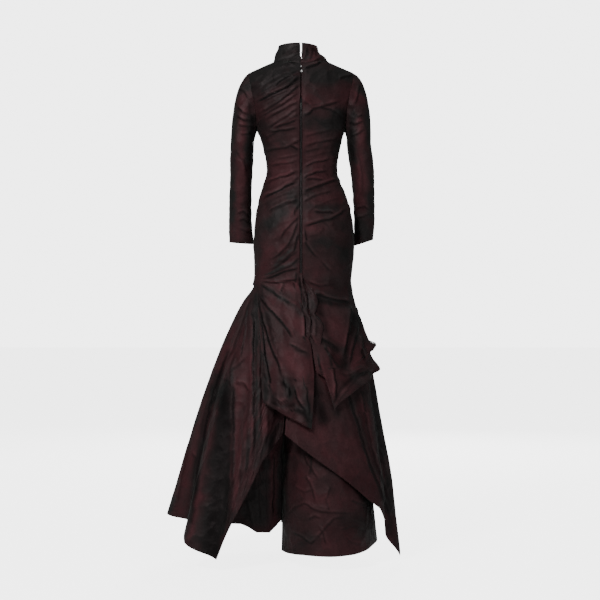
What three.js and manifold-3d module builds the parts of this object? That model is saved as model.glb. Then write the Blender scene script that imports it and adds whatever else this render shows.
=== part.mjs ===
// An evening gown of shot taffeta, filled out as it is worn: a high collar, long sleeves, a body
// pleated into a centre-back zip, a draped peplum, a pointed overskirt and a level underskirt.
// Millimetres, +Z up. The gown's back faces -Y and its front +Y. The origin lies between the
// shoulders, level with the neck seam at the back.
import * as THREE from "three";
import { mergeVertices } from "three/addons/utils/BufferGeometryUtils.js";
import Module from "manifold-3d";

// Driving sizes
const CLOTH = 1.6;
const SEAM = 0.3;
const SHOULDER_SEAM = 0.5;
const SKIRT_TOP = -742;
const UNDERARM = -215;
const SHOULDER = { x: 180, y: 5, z: -26 };
const NECK = { side: 93, middle: 5, back: -52, front: 58, sideZ: 13, backZ: 1, frontZ: -30 };
const YOKE_ROUNDING = 95;
const NECK_SHARE = 0.375;
const FRONT_SAG = 10;
const COLLAR_LIFT = { back: 1.5, front: 3.6 };
const CAP_SHARE = 0.4;
const ARMHOLE_GAP = 1.3;
const SLIT_TOP = -1010;
const UNDER_SEAM = 1;
const UNDER_WAVE = 7;
const ZIP = { top: -120, bottom: -713, tape: 14, tapeWall: 0.8, chain: 2.6, chainWall: 1.6 };
const SLIDER = { top: -139, middle: -145.5, bottom: -152, half: 4, deep: 3.6, front: 2, strap: 1.4 };
const HINGE_OUT = 1.2;

const COLOURS = { taffeta: 0x35161b, tape: 0x15171a, metal: 0xb9bcc0, steel: 0x2c2e31 };

// The filled-out body and overskirt: the extents of each level section, without folds.
const FIGURE = [
  { height: 40, left: -200, right: 200, seam: 5, back: -55, front: 60 },
  { height: -60, left: -193, right: 193, seam: 5, back: -84, front: 84 },
  { height: -130, left: -180, right: 180, seam: 5, back: -97, front: 104 },
  { height: -180, left: -163, right: 163, seam: 5, back: -98, front: 117 },
  { height: -215, left: -150, right: 150, seam: 5, back: -96, front: 121 },
  { height: -260, left: -133, right: 137, seam: 6, back: -88, front: 116 },
  { height: -354, left: -116, right: 122, seam: 8, back: -73, front: 98 },
  { height: -450, left: -141, right: 155, seam: 2, back: -96, front: 104 },
  { height: -540, left: -156, right: 176, seam: -4, back: -121, front: 110 },
  { height: -612, left: -160, right: 180, seam: -6, back: -126, front: 110 },
  { height: -700, left: -158, right: 173, seam: -5, back: -117, front: 106 },
  { height: -742, left: -162, right: 169, seam: -4, back: -114, front: 106 },
  { height: -800, left: -196, right: 174, seam: -4, back: -128, front: 120 },
  { height: -900, left: -245, right: 200, seam: -4, back: -160, front: 148 },
  { height: -1000, left: -284, right: 232, seam: -4, back: -190, front: 176 },
  { height: -1200, left: -351, right: 265, seam: -4, back: -242, front: 226 },
  { height: -1400, left: -406, right: 297, seam: -4, back: -292, front: 270 },
  { height: -1510, left: -438, right: 306, seam: -4, back: -318, front: 290 },
  { height: -1660, left: -478, right: 321, seam: -4, back: -346, front: 314 },
];

// How far from the middle the armhole seam runs at each height.
const ARMHOLE = [
  { height: -26, out: 180 },
  { height: -60, out: 173 },
  { height: -110, out: 163 },
  { height: -160, out: 155 },
  { height: -195, out: 151 },
  { height: -215, out: 150 },
];

// Where the centre-back line runs: the zip, then the ruched seam, then the peplum's free edges.
const CENTRE_LEFT = [
  { height: 1, x: -1.6 },
  { height: -114, x: -1.6 },
  { height: -130, x: -4.5 },
  { height: -718, x: -4.5 },
  { height: -735, x: -0.5 },
  { height: -800, x: 6 },
  { height: -900, x: 17 },
  { height: -945, x: 31 },
  { height: -1035, x: 40 },
  { height: -1100, x: 39 },
  { height: -1214, x: 32 },
];
const CENTRE_RIGHT = [
  { height: 1, x: 1.6 },
  { height: -114, x: 1.6 },
  { height: -130, x: 4.5 },
  { height: -718, x: 4.5 },
  { height: -735, x: 1.5 },
  { height: -800, x: 8 },
  { height: -900, x: 19 },
  { height: -945, x: 33 },
  { height: -1030, x: 46 },
  { height: -1050, x: 74 },
  { height: -1098, x: 88 },
  { height: -1156, x: 105 },
];

// Back panels, a row for each pleat's crest from the neck down: its height at the centre back and
// at the outer edge, and how far it rises. Rows that state edgeX hang free, off the side seam.
const PLEATS_LEFT = [
  { centre: 1, edge: -26, rise: 0 },
  { centre: -8, edge: -64, rise: 3 },
  { centre: -20, edge: -100, rise: 4 },
  { centre: -36, edge: -120, rise: 5 },
  { centre: -62, edge: -138, rise: 6.5 },
  { centre: -80, edge: -153, rise: 4.5 },
  { centre: -98, edge: -168, rise: 4 },
  { centre: -119, edge: -186, rise: 5 },
  { centre: -145, edge: -211, rise: 5 },
  { centre: -181, edge: -232, rise: 4.5 },
  { centre: -210, edge: -252, rise: 4 },
  { centre: -238, edge: -274, rise: 3 },
  { centre: -263, edge: -299, rise: 4 },
  { centre: -293, edge: -322, rise: 2.5 },
  { centre: -324, edge: -347, rise: 3.5 },
  { centre: -345, edge: -370, rise: 2.5 },
  { centre: -366, edge: -402, rise: 4.5 },
  { centre: -393, edge: -462, rise: 7 },
  { centre: -420, edge: -502, rise: 5.5 },
  { centre: -464, edge: -560, rise: 7 },
  { centre: -512, edge: -632, rise: 5 },
  { centre: -545, edge: -682, rise: 6 },
  { centre: -604, edge: -708, rise: 6 },
  { centre: -643, edge: -722, rise: 5 },
  { centre: -681, edge: -732, rise: 5 },
  { centre: -718, edge: -741, rise: 5 },
  { centre: -774, edge: -765, rise: 6, edgeX: -147 },
  { centre: -840, edge: -800, rise: 11, edgeX: -142 },
  { centre: -905, edge: -850, rise: 8, edgeX: -137 },
  { centre: -968, edge: -906, rise: 8, edgeX: -131 },
  { centre: -1035, edge: -970, rise: 7, edgeX: -127 },
  { centre: -1095, edge: -1030, rise: 9, edgeX: -125 },
  { centre: -1152, edge: -1082, rise: 6, edgeX: -124 },
  { centre: -1214, edge: -1128, rise: 0, edgeX: -120 },
];
const PLEATS_RIGHT = [
  { centre: 1, edge: -26, rise: 0 },
  { centre: -30, edge: -44, rise: 3 },
  { centre: -64, edge: -76, rise: 2 },
  { centre: -108, edge: -102, rise: 2.5 },
  { centre: -175, edge: -126, rise: 6 },
  { centre: -208, edge: -184, rise: 5 },
  { centre: -240, edge: -214, rise: 3.5 },
  { centre: -275, edge: -240, rise: 3.5 },
  { centre: -303, edge: -260, rise: 3.5 },
  { centre: -329, edge: -286, rise: 2.5 },
  { centre: -349, edge: -308, rise: 3.5 },
  { centre: -371, edge: -329, rise: 3 },
  { centre: -392, edge: -351, rise: 4.5 },
  { centre: -431, edge: -387, rise: 7 },
  { centre: -467, edge: -420, rise: 6 },
  { centre: -506, edge: -450, rise: 4.5 },
  { centre: -549, edge: -478, rise: 8 },
  { centre: -592, edge: -560, rise: 3 },
  { centre: -642, edge: -640, rise: 3.5 },
  { centre: -690, edge: -704, rise: 3 },
  { centre: -735, edge: -741, rise: 4 },
  { centre: -774, edge: -800, rise: 9, edgeX: 185 },
  { centre: -818, edge: -834, rise: 4, edgeX: 194 },
  { centre: -864, edge: -862, rise: 6, edgeX: 202 },
  { centre: -912, edge: -888, rise: 9, edgeX: 209 },
  { centre: -960, edge: -914, rise: 6, edgeX: 216 },
  { centre: -1008, edge: -940, rise: 7, edgeX: 223 },
  { centre: -1056, edge: -966, rise: 6, edgeX: 229 },
  { centre: -1106, edge: -992, rise: 7, edgeX: 234 },
  { centre: -1156, edge: -1018, rise: 0, edgeX: 238 },
];

// The front's pleats: each crest's height at the left and right side seams, and its rise.
const PLEATS_FRONT = [
  { left: -26, right: -26, rise: 0 },
  { left: -64, right: -52, rise: 2 },
  { left: -110, right: -88, rise: 3 },
  { left: -150, right: -124, rise: 4 },
  { left: -186, right: -158, rise: 4 },
  { left: -224, right: -196, rise: 3.5 },
  { left: -258, right: -226, rise: 4 },
  { left: -296, right: -258, rise: 4 },
  { left: -334, right: -292, rise: 3 },
  { left: -372, right: -326, rise: 4 },
  { left: -412, right: -360, rise: 5 },
  { left: -452, right: -394, rise: 6 },
  { left: -494, right: -430, rise: 5 },
  { left: -540, right: -470, rise: 6 },
  { left: -592, right: -520, rise: 5 },
  { left: -646, right: -580, rise: 4 },
  { left: -694, right: -650, rise: 3 },
  { left: -746, right: -746, rise: 0 },
];

// Sleeves below the underarm: each ring's centre and half sizes, left then right.
const SLEEVE_LEFT = [
  { height: -262, x: -199, y: 6, across: 39.5, deep: 54 },
  { height: -300, x: -201.5, y: 8, across: 39.5, deep: 51 },
  { height: -380, x: -204, y: 16, across: 37.5, deep: 44 },
  { height: -460, x: -207, y: 28, across: 37.5, deep: 40 },
  { height: -540, x: -207, y: 42, across: 39, deep: 40 },
  { height: -601, x: -204, y: 52, across: 42, deep: 42 },
];
const SLEEVE_RIGHT = [
  { height: -262, x: 197, y: 6, across: 41, deep: 54 },
  { height: -300, x: 201, y: 8, across: 41, deep: 51 },
  { height: -380, x: 211, y: 18, across: 38.5, deep: 44 },
  { height: -460, x: 215.5, y: 32, across: 35.5, deep: 39 },
  { height: -540, x: 217, y: 48, across: 34.5, deep: 38 },
  { height: -600, x: 213, y: 58, across: 34.5, deep: 38 },
];
const CUFF_TILT = { left: -3, right: -11 };

// The collar from its seam to its top edge, and how far each end stands from the middle.
const COLLAR = [
  {
    share: 0, side: 93, shift: 0, back: -52, front: 58, sideZ: 13,
    backZ: 1, frontZ: -30, left: 1.8, right: 1.8,
  },
  {
    share: 0.25, side: 86, shift: -4, back: -51, front: 56, sideZ: 27,
    backZ: 18, frontZ: -12, left: 1.8, right: 1.8,
  },
  {
    share: 0.5, side: 76, shift: -9, back: -50, front: 57, sideZ: 40,
    backZ: 36, frontZ: 6, left: 2.2, right: 2,
  },
  {
    share: 0.75, side: 70, shift: -11, back: -50, front: 60, sideZ: 54,
    backZ: 54, frontZ: 24, left: 3, right: 3.5,
  },
  {
    share: 1, side: 65.5, shift: -11, back: -51, front: 62, sideZ: 67,
    backZ: 71, frontZ: 42, left: 6, right: 4,
  },
];

// Long soft folds of the overskirt: where each lies round the skirt in degrees from the centre
// back, how far it stands out (or in) at the hem, and its half width in degrees.
const FLUTES = [
  { angle: -172, rise: 14, width: 9 },
  { angle: -150, rise: 18, width: 9 },
  { angle: -126, rise: 16, width: 9 },
  { angle: -104, rise: 18, width: 8 },
  { angle: -84, rise: 16, width: 9 },
  { angle: -64, rise: -34, width: 8 },
  { angle: -46, rise: 26, width: 9 },
  { angle: -33, rise: -10, width: 5 },
  { angle: -24, rise: 9, width: 4 },
  { angle: -16, rise: -6, width: 4 },
  { angle: 22, rise: -3, width: 12 },
  { angle: 62, rise: 8, width: 7 },
  { angle: 71, rise: -14, width: 4 },
  { angle: 80, rise: 20, width: 6 },
  { angle: 98, rise: -14, width: 8 },
  { angle: 116, rise: 20, width: 9 },
  { angle: 140, rise: 16, width: 10 },
  { angle: 164, rise: 14, width: 9 },
];
const RECESS = { angle: -6, depth: 46, width: 6, from: -1010, to: -1260 };

// Hems: the height at each angle. The overskirt's corners hang lowest.
const OVERSKIRT_HEM_LEFT = [
  { angle: -2.6, height: -1228 },
  { angle: -13.6, height: -1318 },
  { angle: -23.8, height: -1502 },
  { angle: -27.6, height: -1570 },
  { angle: -30.2, height: -1628 },
  { angle: -49, height: -1582 },
  { angle: -60, height: -1525 },
  { angle: -90, height: -1514 },
  { angle: -130, height: -1508 },
  { angle: -179.88, height: -1504 },
];
const OVERSKIRT_HEM_RIGHT = [
  { angle: -1.4, height: -1231 },
  { angle: 14.7, height: -1300 },
  { angle: 33, height: -1374 },
  { angle: 50, height: -1446 },
  { angle: 60, height: -1482 },
  { angle: 79, height: -1652 },
  { angle: 89, height: -1570 },
  { angle: 100, height: -1512 },
  { angle: 130, height: -1500 },
  { angle: 179.88, height: -1504 },
];

// The underskirt's right half bulges back in one lobe, from the angle where its seam starts.
const UNDERSKIRT_RIGHT = [
  { height: -750, centre: 3, half: 158, back: -106, front: 97, start: 1 },
  { height: -900, centre: 16, half: 165, back: -138, front: 130, start: 17 },
  { height: -1050, centre: 36, half: 152, back: -176, front: 158, start: 37 },
  { height: -1228, centre: 64, half: 145, back: -214, front: 190, start: 58 },
  { height: -1400, centre: 80, half: 154, back: -248, front: 222, start: 65 },
  { height: -1640, centre: 93, half: 166, back: -283, front: 256, start: 73 },
];
// Its left half hangs from the same seam, which it meets deep in the skirt.
const UNDERSKIRT_LEFT = [
  { height: -750, half: 160 },
  { height: -900, half: 196 },
  { height: -1050, half: 222 },
  { height: -1228, half: 256 },
  { height: -1400, half: 296 },
  { height: -1640, half: 340 },
];
const UNDER_HEM_RIGHT = [
  { angle: -71, height: -1632 },
  { angle: -55, height: -1630 },
  { angle: -30, height: -1622 },
  { angle: 30, height: -1620 },
  { angle: 60, height: -1610 },
  { angle: 90, height: -1604 },
  { angle: 180, height: -1588 },
];
const UNDER_HEM_LEFT = [
  { angle: 0, height: -1526 },
  { angle: -3, height: -1548 },
  { angle: -7, height: -1573 },
  { angle: -15, height: -1573 },
  { angle: -20, height: -1556 },
  { angle: -25, height: -1545 },
  { angle: -50, height: -1542 },
  { angle: -90, height: -1546 },
  { angle: -180, height: -1588 },
];

const BUTTONS = [
  { x: 2.7, height: 36, radius: 3, onCollar: true },
  { x: 3, height: 17.6, radius: 3, onCollar: true },
  { x: 0.2, height: -12, radius: 3, onCollar: false },
  { x: 1.6, height: -29, radius: 4.6, onCollar: false },
];

const FRILL = { top: -716, bottom: -948, waves: 5, wall: 1.2 };

// Small helpers
const radians = (degrees) => (degrees * Math.PI) / 180;
const degrees = (angle) => (angle * 180) / Math.PI;
const mix = (a, b, t) => a + (b - a) * t;
const clamp = (t) => Math.min(1, Math.max(0, t));
const ease = (t) => clamp(t) * clamp(t) * (3 - 2 * clamp(t));
const bell = (distance, width) => Math.exp(-((distance / width) ** 2));

// Finds the two rows of a table that a place lies between.
function between(table, by, place) {
  const falling = table[0][by] > table[table.length - 1][by];
  let row = 0;
  const passed = (next) => (falling ? place < next[by] : place > next[by]);
  while (row < table.length - 2 && passed(table[row + 1])) row++;
  const share = (place - table[row][by]) / (table[row + 1][by] - table[row][by]);
  return { row, share: clamp(share) };
}

// Reads a column on straight lines between the rows.
function straight(table, by, place, column) {
  const { row, share } = between(table, by, place);
  return mix(table[row][column], table[row + 1][column], share);
}

// Reads a column on a smooth curve through the rows that never overshoots them.
function smooth(table, by, place, column) {
  const { row, share } = between(table, by, place);
  const gap = (k) => table[k + 1][by] - table[k][by];
  const slope = (k) => (table[k + 1][column] - table[k][column]) / gap(k);
  const tangent = (k) => {
    if (k === 0) return slope(0);
    if (k === table.length - 1) return slope(k - 1);
    const before = slope(k - 1);
    const after = slope(k);
    return before * after <= 0 ? 0 : (2 * before * after) / (before + after);
  };
  const t = share;
  const step = gap(row);
  return (
    (2 * t ** 3 - 3 * t ** 2 + 1) * table[row][column] +
    (t ** 3 - 2 * t ** 2 + t) * step * tangent(row) +
    (3 * t ** 2 - 2 * t ** 3) * table[row + 1][column] +
    (t ** 3 - t ** 2) * step * tangent(row + 1)
  );
}

// A point of the figure at an angle from the centre back and a height, moved out by lift.
function figure(angle, height, lift = 0) {
  const left = smooth(FIGURE, "height", height, "left");
  const right = smooth(FIGURE, "height", height, "right");
  const seam = smooth(FIGURE, "height", height, "seam");
  const half = (right - left) / 2;
  const sine = Math.sin(radians(angle));
  const cosine = Math.cos(radians(angle));
  const face = cosine > 0 ? "back" : "front";
  const reach = Math.abs(smooth(FIGURE, "height", height, face) - seam);
  const out = new THREE.Vector2(sine * reach, -cosine * half).normalize();
  return new THREE.Vector3(
    (left + right) / 2 + half * sine + out.x * lift,
    seam - reach * cosine + out.y * lift,
    height,
  );
}

// The angle at which the figure reaches a distance from the middle, on its back.
function angleOf(x, height) {
  const left = smooth(FIGURE, "height", height, "left");
  const right = smooth(FIGURE, "height", height, "right");
  const share = (x - (left + right) / 2) / ((right - left) / 2);
  return degrees(Math.asin(Math.max(-1, Math.min(1, share))));
}

// The neck seam and the shoulder seam beyond it, seen from one face.
function topLine(x, face) {
  const out = Math.abs(x);
  if (out < NECK.side) {
    const inward = 1 - (out / NECK.side) ** 2;
    const y = mix(NECK.middle, NECK[face], Math.sqrt(inward));
    return { y, z: mix(NECK.sideZ, NECK[face + "Z"], inward) };
  }
  const share = (out - NECK.side) / (SHOULDER.x - NECK.side);
  return { y: SHOULDER.y, z: mix(NECK.sideZ, SHOULDER.z, share) };
}

// The bodice rounds over from the figure to the neck and shoulder seams.
function bodice(angle, height, lift = 0) {
  const face = Math.cos(radians(angle)) > 0 ? "back" : "front";
  const bare = figure(angle, height);
  const point = figure(angle, height, lift);
  const top = topLine(bare.x, face);
  const drop = clamp((top.z - height) / YOKE_ROUNDING);
  const share = Math.sqrt(1 - (1 - drop) ** 2);
  const apart = face === "back" ? -SHOULDER_SEAM : SHOULDER_SEAM;
  point.y += (1 - share) * (top.y + apart - bare.y);
  point.z += (1 - share) * lift;
  return point;
}

// A panel's outer edge on the figure: the armhole, then the side seam.
function edgeAngle(side, height) {
  if (height <= UNDERARM) return side * (90 - degrees(SEAM / 150));
  const out = straight(ARMHOLE, "height", height, "out") - SEAM;
  return Math.max(-89.9, Math.min(89.9, angleOf(side * out, height)));
}

// Height of a fold between two rows of pleats: 1 on each row's crest and 0 halfway.
const crest = (place) => ((1 + Math.cos(2 * Math.PI * place)) / 2) ** 1.3;

// How far the overskirt's long folds move it at an angle and height.
function flutes(angle, height) {
  const grown = clamp((SKIRT_TOP - height) / 860) ** 1.15;
  return grown * FLUTES.reduce((sum, f) => sum + f.rise * bell(angle - f.angle, f.width), 0);
}

// Spreads columns across a panel so that, near the neck, one column lands on the neck point.
function columnAngle(u, inner, outer, level, side, face) {
  const plain = mix(inner, outer, u);
  const start = Math.abs(figure(inner, level).x);
  const across = mix(start, NECK.side, Math.sin(radians(90 * Math.min(1, u / NECK_SHARE))));
  const back = u < NECK_SHARE
    ? angleOf(side * across, level)
    : mix(
      angleOf(side * NECK.side, level),
      face > 0 ? outer : side * 180 - outer,
      (u - NECK_SHARE) / (1 - NECK_SHARE),
    );
  return { plain, top: face > 0 ? back : side * 180 - back };
}

// The back panels: u runs from the centre back to the edge, v counts rows of pleats.
function backPanel(side) {
  const table = (side < 0 ? PLEATS_LEFT : PLEATS_RIGHT).map((row, place) => ({ place, ...row }));
  const middle = side < 0 ? CENTRE_LEFT : CENTRE_RIGHT;
  const firstFree = table.findIndex((row) => row.edgeX !== undefined);
  const free = [{ edge: SKIRT_TOP, edgeX: side < 0 ? -165 : 172 }, ...table.slice(firstFree)];
  const lastRow = table.length - 1;
  return (u, share) => {
    const v = share * lastRow;
    const centre = smooth(table, "place", v, "centre");
    const edge = smooth(table, "place", v, "edge");
    const rise = straight(table, "place", v, "rise");
    const loose = ease((SKIRT_TOP - edge) / 40);
    const outer = edge < SKIRT_TOP
      ? angleOf(smooth(free, "edge", edge, "edgeX"), edge)
      : edgeAngle(side, edge);
    const inner = angleOf(straight(middle, "height", centre, "x"), centre);
    const last = clamp((v - firstFree) / (lastRow - firstFree));
    const bend = side > 0 ? mix(1, 0.62, last) : 1;
    const level = mix(centre, edge, u ** bend);
    const nearTop = clamp(1 - v / 3);
    const { plain, top } = columnAngle(u, inner, outer, level, side, 1);
    const angle = mix(plain, top, nearTop);
    const chord = mix(NECK.backZ, SHOULDER.z, u);
    const height = level + nearTop * (topLine(figure(angle, level).x, "back").z - chord);
    const pleat = rise * crest(v) * ease(u / 0.08) * mix(ease((1 - u) / 0.06), 1, loose);
    const clear = 14 * ease((SKIRT_TOP + 20 - height) / 160);
    const below = height < SKIRT_TOP ? Math.max(0, flutes(angle, height)) : 0;
    const swag = 3.5 * last * (1 - Math.cos(6 * Math.PI * u));
    const roll = 5 * ease((u - 0.5) / 0.3) * bell(height - SKIRT_TOP + 14, 24);
    const tips = side > 0 ? 22 * bell(edge + 944, 10) + 12 * bell(edge + 1012, 11) : 0;
    const flare = tips * ease((u - 0.7) / 0.3);
    return bodice(angle, height, clear + below + pleat + swag + roll + flare);
  };
}

// The front panel: u runs from the left side to the right, share from the top to the skirt.
const FRONT = PLEATS_FRONT.map((row, place) => ({ place, ...row }));
function frontPanel(u, share) {
  const v = share * (FRONT.length - 1);
  const side = u < 0.5 ? -1 : 1;
  const out = Math.abs(2 * u - 1);
  const left = smooth(FRONT, "place", v, "left");
  const right = smooth(FRONT, "place", v, "right");
  const edge = side < 0 ? left : right;
  const middle = (left + right) / 2 - FRONT_SAG * Math.sin(Math.PI * share);
  const level = mix(middle, edge, out ** 1.6);
  const rim = side * 180 - edgeAngle(side, edge);
  const { plain, top } = columnAngle(out, side * 180, rim, level, side, -1);
  const nearTop = clamp(1 - v / 3);
  const angle = mix(plain, top, nearTop);
  const height = level + nearTop * (topLine(figure(angle, level).x, "front").z - SHOULDER.z);
  const rise = straight(FRONT, "place", v, "rise");
  return bodice(angle, height, rise * crest(v) * ease((1 - out) / 0.08));
}

// A sleeve: turn runs from the outer side over the back, share from the armhole to the cuff.
function sleeve(side) {
  const rings = side < 0 ? SLEEVE_LEFT : SLEEVE_RIGHT;
  const tilt = side < 0 ? CUFF_TILT.left : CUFF_TILT.right;
  const ring = (turn, height) => new THREE.Vector3(
    smooth(rings, "height", height, "x") +
      side * smooth(rings, "height", height, "across") * Math.cos(radians(turn)),
    smooth(rings, "height", height, "y") -
      smooth(rings, "height", height, "deep") * Math.sin(radians(turn)),
    height,
  );
  return (turn, share) => {
    const below = rings[0].height;
    if (share > CAP_SHARE) {
      const down = (share - CAP_SHARE) / (1 - CAP_SHARE);
      const point = ring(turn, mix(below, rings[rings.length - 1].height, down));
      const still = ease(down * 8) * ease((1 - down) * 8);
      const fold = 2.2 * still * Math.sin(16 * Math.PI * down + radians(turn) * 1.5);
      const away = new THREE.Vector3(side * Math.cos(radians(turn)), -Math.sin(radians(turn)), 0);
      point.addScaledVector(away, fold);
      point.z -= tilt * down * Math.cos(radians(turn));
      return point;
    }
    const t = share / CAP_SHARE;
    const height = mix(SHOULDER.z, UNDERARM, (1 - Math.cos(radians(turn))) / 2);
    const seam = edgeAngle(side, height + 0.01);
    const start = bodice(Math.sin(radians(turn)) >= 0 ? seam : side * 180 - seam, height);
    start.x += side * (ARMHOLE_GAP + 1.3 * ease((-180 - height) / 35));
    const end = ring(turn, below);
    const drop = start.z - end.z;
    const outer = (1 + Math.cos(radians(turn))) / 2;
    const first = new THREE.Vector3(4 + (side > 0 ? 45 : 36) * outer, -4 * Math.sin(radians(turn)), 0);
    first.x *= side;
    first.z = -((side > 0 ? 17 : 22) * outer + 0.3 * drop * (1 - outer));
    first.add(start);
    const second = end.clone();
    second.z += 0.42 * drop;
    return new THREE.CubicBezierCurve3(start, first, second, end).getPoint(t);
  };
}

// The collar: turn runs in degrees from the left end round the front to the right end.
function collar(u, share) {
  const read = (column) => smooth(COLLAR, "share", share, column);
  const side = read("side");
  const shift = read("shift");
  const from = -degrees(Math.asin((read("left") + shift) / side));
  const to = -360 + degrees(Math.asin((read("right") - shift) / side));
  const turn = radians(mix(from, to, u));
  const face = Math.cos(turn) > 0 ? "back" : "front";
  const deep = Math.cos(turn) ** 2;
  return new THREE.Vector3(
    shift + side * Math.sin(turn),
    mix(NECK.middle, read(face), Math.abs(Math.cos(turn))),
    mix(read("sideZ"), read(face + "Z"), deep) + (1 - share) * COLLAR_LIFT[face],
  );
}

// The overskirt's halves: share runs from the top to the hem at each angle.
function overskirt(side) {
  const hem = side < 0 ? OVERSKIRT_HEM_LEFT : OVERSKIRT_HEM_RIGHT;
  const joined = -2 + side * 0.06 - hem[0].angle;
  return (stated, share) => {
    const height = mix(SKIRT_TOP - 1, straight(hem, "angle", stated, "height"), share);
    const parted = ease((SLIT_TOP - height) / 120);
    const angle = stated + joined * (1 - parted) * clamp(1 - Math.abs(stated - hem[0].angle) / 5);
    const tuck = -3.6 * (1 - ease((SKIRT_TOP - height) / 100));
    const folded = ease((RECESS.from - height) / (RECESS.from - RECESS.to));
    const hollow = side < 0 ? RECESS.depth * folded * bell(angle - RECESS.angle, RECESS.width) : 0;
    return figure(angle, height, tuck + flutes(angle, height) - hollow);
  };
}

// The underskirt's halves, sewn together along one seam deep inside the slit.
function underskirt(side) {
  const hem = side < 0 ? UNDER_HEM_LEFT : UNDER_HEM_RIGHT;
  const span = hem[hem.length - 1].angle - hem[0].angle;
  return (stated, share) => {
    const along = (stated - hem[0].angle) / span;
    const height = mix(SKIRT_TOP - 3, straight(hem, "angle", stated, "height"), share);
    const read = (column) => smooth(UNDERSKIRT_RIGHT, "height", height, column);
    const start = read("start");
    const seamX = read("centre") - read("half") * Math.sin(radians(start));
    const seamY = read("back") * Math.cos(radians(start));
    const turn = radians(side > 0 ? mix(-start, 180, along) : -180 * along);
    const front = Math.cos(turn) < 0;
    const left = smooth(FIGURE, "height", height, "left");
    const right = smooth(FIGURE, "height", height, "right");
    const round = front ? ease(-Math.cos(turn)) : 0;
    const centre = mix(side > 0 ? read("centre") : seamX, (left + right) / 2, round);
    const half = side > 0 ? read("half") : smooth(UNDERSKIRT_LEFT, "height", height, "half");
    const reach = front ? read("front") : side > 0 ? -read("back") : -seamY;
    const fade = ease(along * 6) * ease((1 - along) * 6);
    const wave = UNDER_WAVE * share ** 2 * Math.sin(turn * 9 + 1) * fade;
    const hanging = new THREE.Vector3(
      centre + (half + wave) * Math.sin(turn) + side * UNDER_SEAM,
      -(reach + wave) * Math.cos(turn),
      height,
    );
    const sewn = figure(side * mix(0.4, 179.6, along), height, -6.4);
    return sewn.lerp(hanging, ease((SKIRT_TOP - 3 - height) / 150));
  };
}

// A frill stands along the ruched seam: s runs out from the seam, share from top to bottom.
function frill(side) {
  const middle = side < 0 ? CENTRE_LEFT : CENTRE_RIGHT;
  return (s, share) => {
    const height = mix(FRILL.top, FRILL.bottom, share);
    const wave = Math.sin(2 * Math.PI * FRILL.waves * share + (side < 0 ? 0 : 1.9));
    const grown = ease(share * 6);
    const width = (side < 0 ? 14 : 30) * grown * (1 + 0.35 * wave) * mix(1, 0.8, share) + 5;
    const x = straight(middle, "height", height, "x") + side * (1 + width * s);
    const clear = 14 * ease((SKIRT_TOP + 20 - height) / 160);
    const root = side < 0 ? 3.1 : 2.4;
    const lift = clear + root + 15 * grown * ease((width * s) / 13) + 5 * s * grown * wave;
    return figure(angleOf(x, height), height - 4 * s, lift);
  };
}

// A strip on the figure's centre back, as the zip's tapes and chain are.
function strip(from, to, top, bottom, lift) {
  return (u, share) => {
    const height = mix(top, bottom, share);
    return figure(angleOf(mix(from, to, u), height), height, lift);
  };
}

// Closed walls of even thickness
const evenly = (count) => Array.from({ length: count + 1 }, (_, k) => k / count);

// Divides the span of a hem's table into columns, keeping one at each row of the table.
function columns(table, widest) {
  const stops = [];
  table.forEach((row, k) => {
    if (k === 0) return stops.push(row.angle);
    const before = table[k - 1].angle;
    const count = Math.ceil(Math.abs(row.angle - before) / widest);
    for (let n = 1; n <= count; n++) stops.push(mix(before, row.angle, n / count));
  });
  return stops;
}

// Turns a surface into a wall: a grid of points on its middle, then two faces and their rims.
function wall(surface, across, down, thickness = CLOTH, closed = false) {
  const wide = across.length;
  const points = down.map((v) => across.map((u) => surface(u, v)));
  const at = (row, column) => {
    const wrapped = closed ? (column + wide) % wide : Math.min(wide - 1, Math.max(0, column));
    return points[Math.min(down.length - 1, Math.max(0, row))][wrapped];
  };
  const vertices = [];
  for (const way of [0.5, -0.5]) {
    for (let row = 0; row < down.length; row++) {
      for (let column = 0; column < wide; column++) {
        const along = at(row, column + 1).clone().sub(at(row, column - 1));
        const under = at(row + 1, column).clone().sub(at(row - 1, column));
        const normal = along.cross(under).normalize();
        vertices.push(...at(row, column).clone().addScaledVector(normal, way * thickness));
      }
    }
  }
  const other = down.length * wide;
  const faces = [];
  const quad = (a, b, c, d) => faces.push(a, b, c, a, c, d);
  const spans = closed ? wide : wide - 1;
  for (let row = 0; row < down.length - 1; row++) {
    for (let column = 0; column < spans; column++) {
      const a = row * wide + column;
      const b = row * wide + ((column + 1) % wide);
      const c = b + wide;
      const d = a + wide;
      quad(a, b, c, d);
      quad(other + a, other + d, other + c, other + b);
    }
  }
  for (let column = 0; column < spans; column++) {
    const a = column;
    const b = (column + 1) % wide;
    const low = (down.length - 1) * wide;
    quad(b, a, other + a, other + b);
    quad(low + a, low + b, other + low + b, other + low + a);
  }
  for (let row = 0; row < down.length - 1 && !closed; row++) {
    const a = row * wide;
    const b = a + wide;
    const far = wide - 1;
    quad(a, b, other + b, other + a);
    quad(b + far, a + far, other + a + far, other + b + far);
  }
  return outward(new Float32Array(vertices), faces);
}

// Makes a geometry whose faces all point out.
function outward(positions, faces) {
  const corner = (k) => new THREE.Vector3().fromArray(positions, faces[k] * 3);
  let volume = 0;
  for (let k = 0; k < faces.length; k += 3) volume += corner(k).dot(corner(k + 1).cross(corner(k + 2)));
  const geometry = new THREE.BufferGeometry();
  geometry.setAttribute("position", new THREE.BufferAttribute(positions, 3));
  geometry.setIndex(volume > 0 ? faces : faces.reverse());
  geometry.computeVertexNormals();
  return geometry;
}

const material = (colour, roughness, metalness) =>
  new THREE.MeshStandardMaterial({ color: colour, roughness, metalness });
const gown = new THREE.Group();
gown.name = "evening_gown";

function add(name, geometry, colour, roughness = 0.45, metalness = 0) {
  const mesh = new THREE.Mesh(geometry, material(colour, roughness, metalness));
  mesh.name = name;
  gown.add(mesh);
  return mesh;
}

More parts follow.
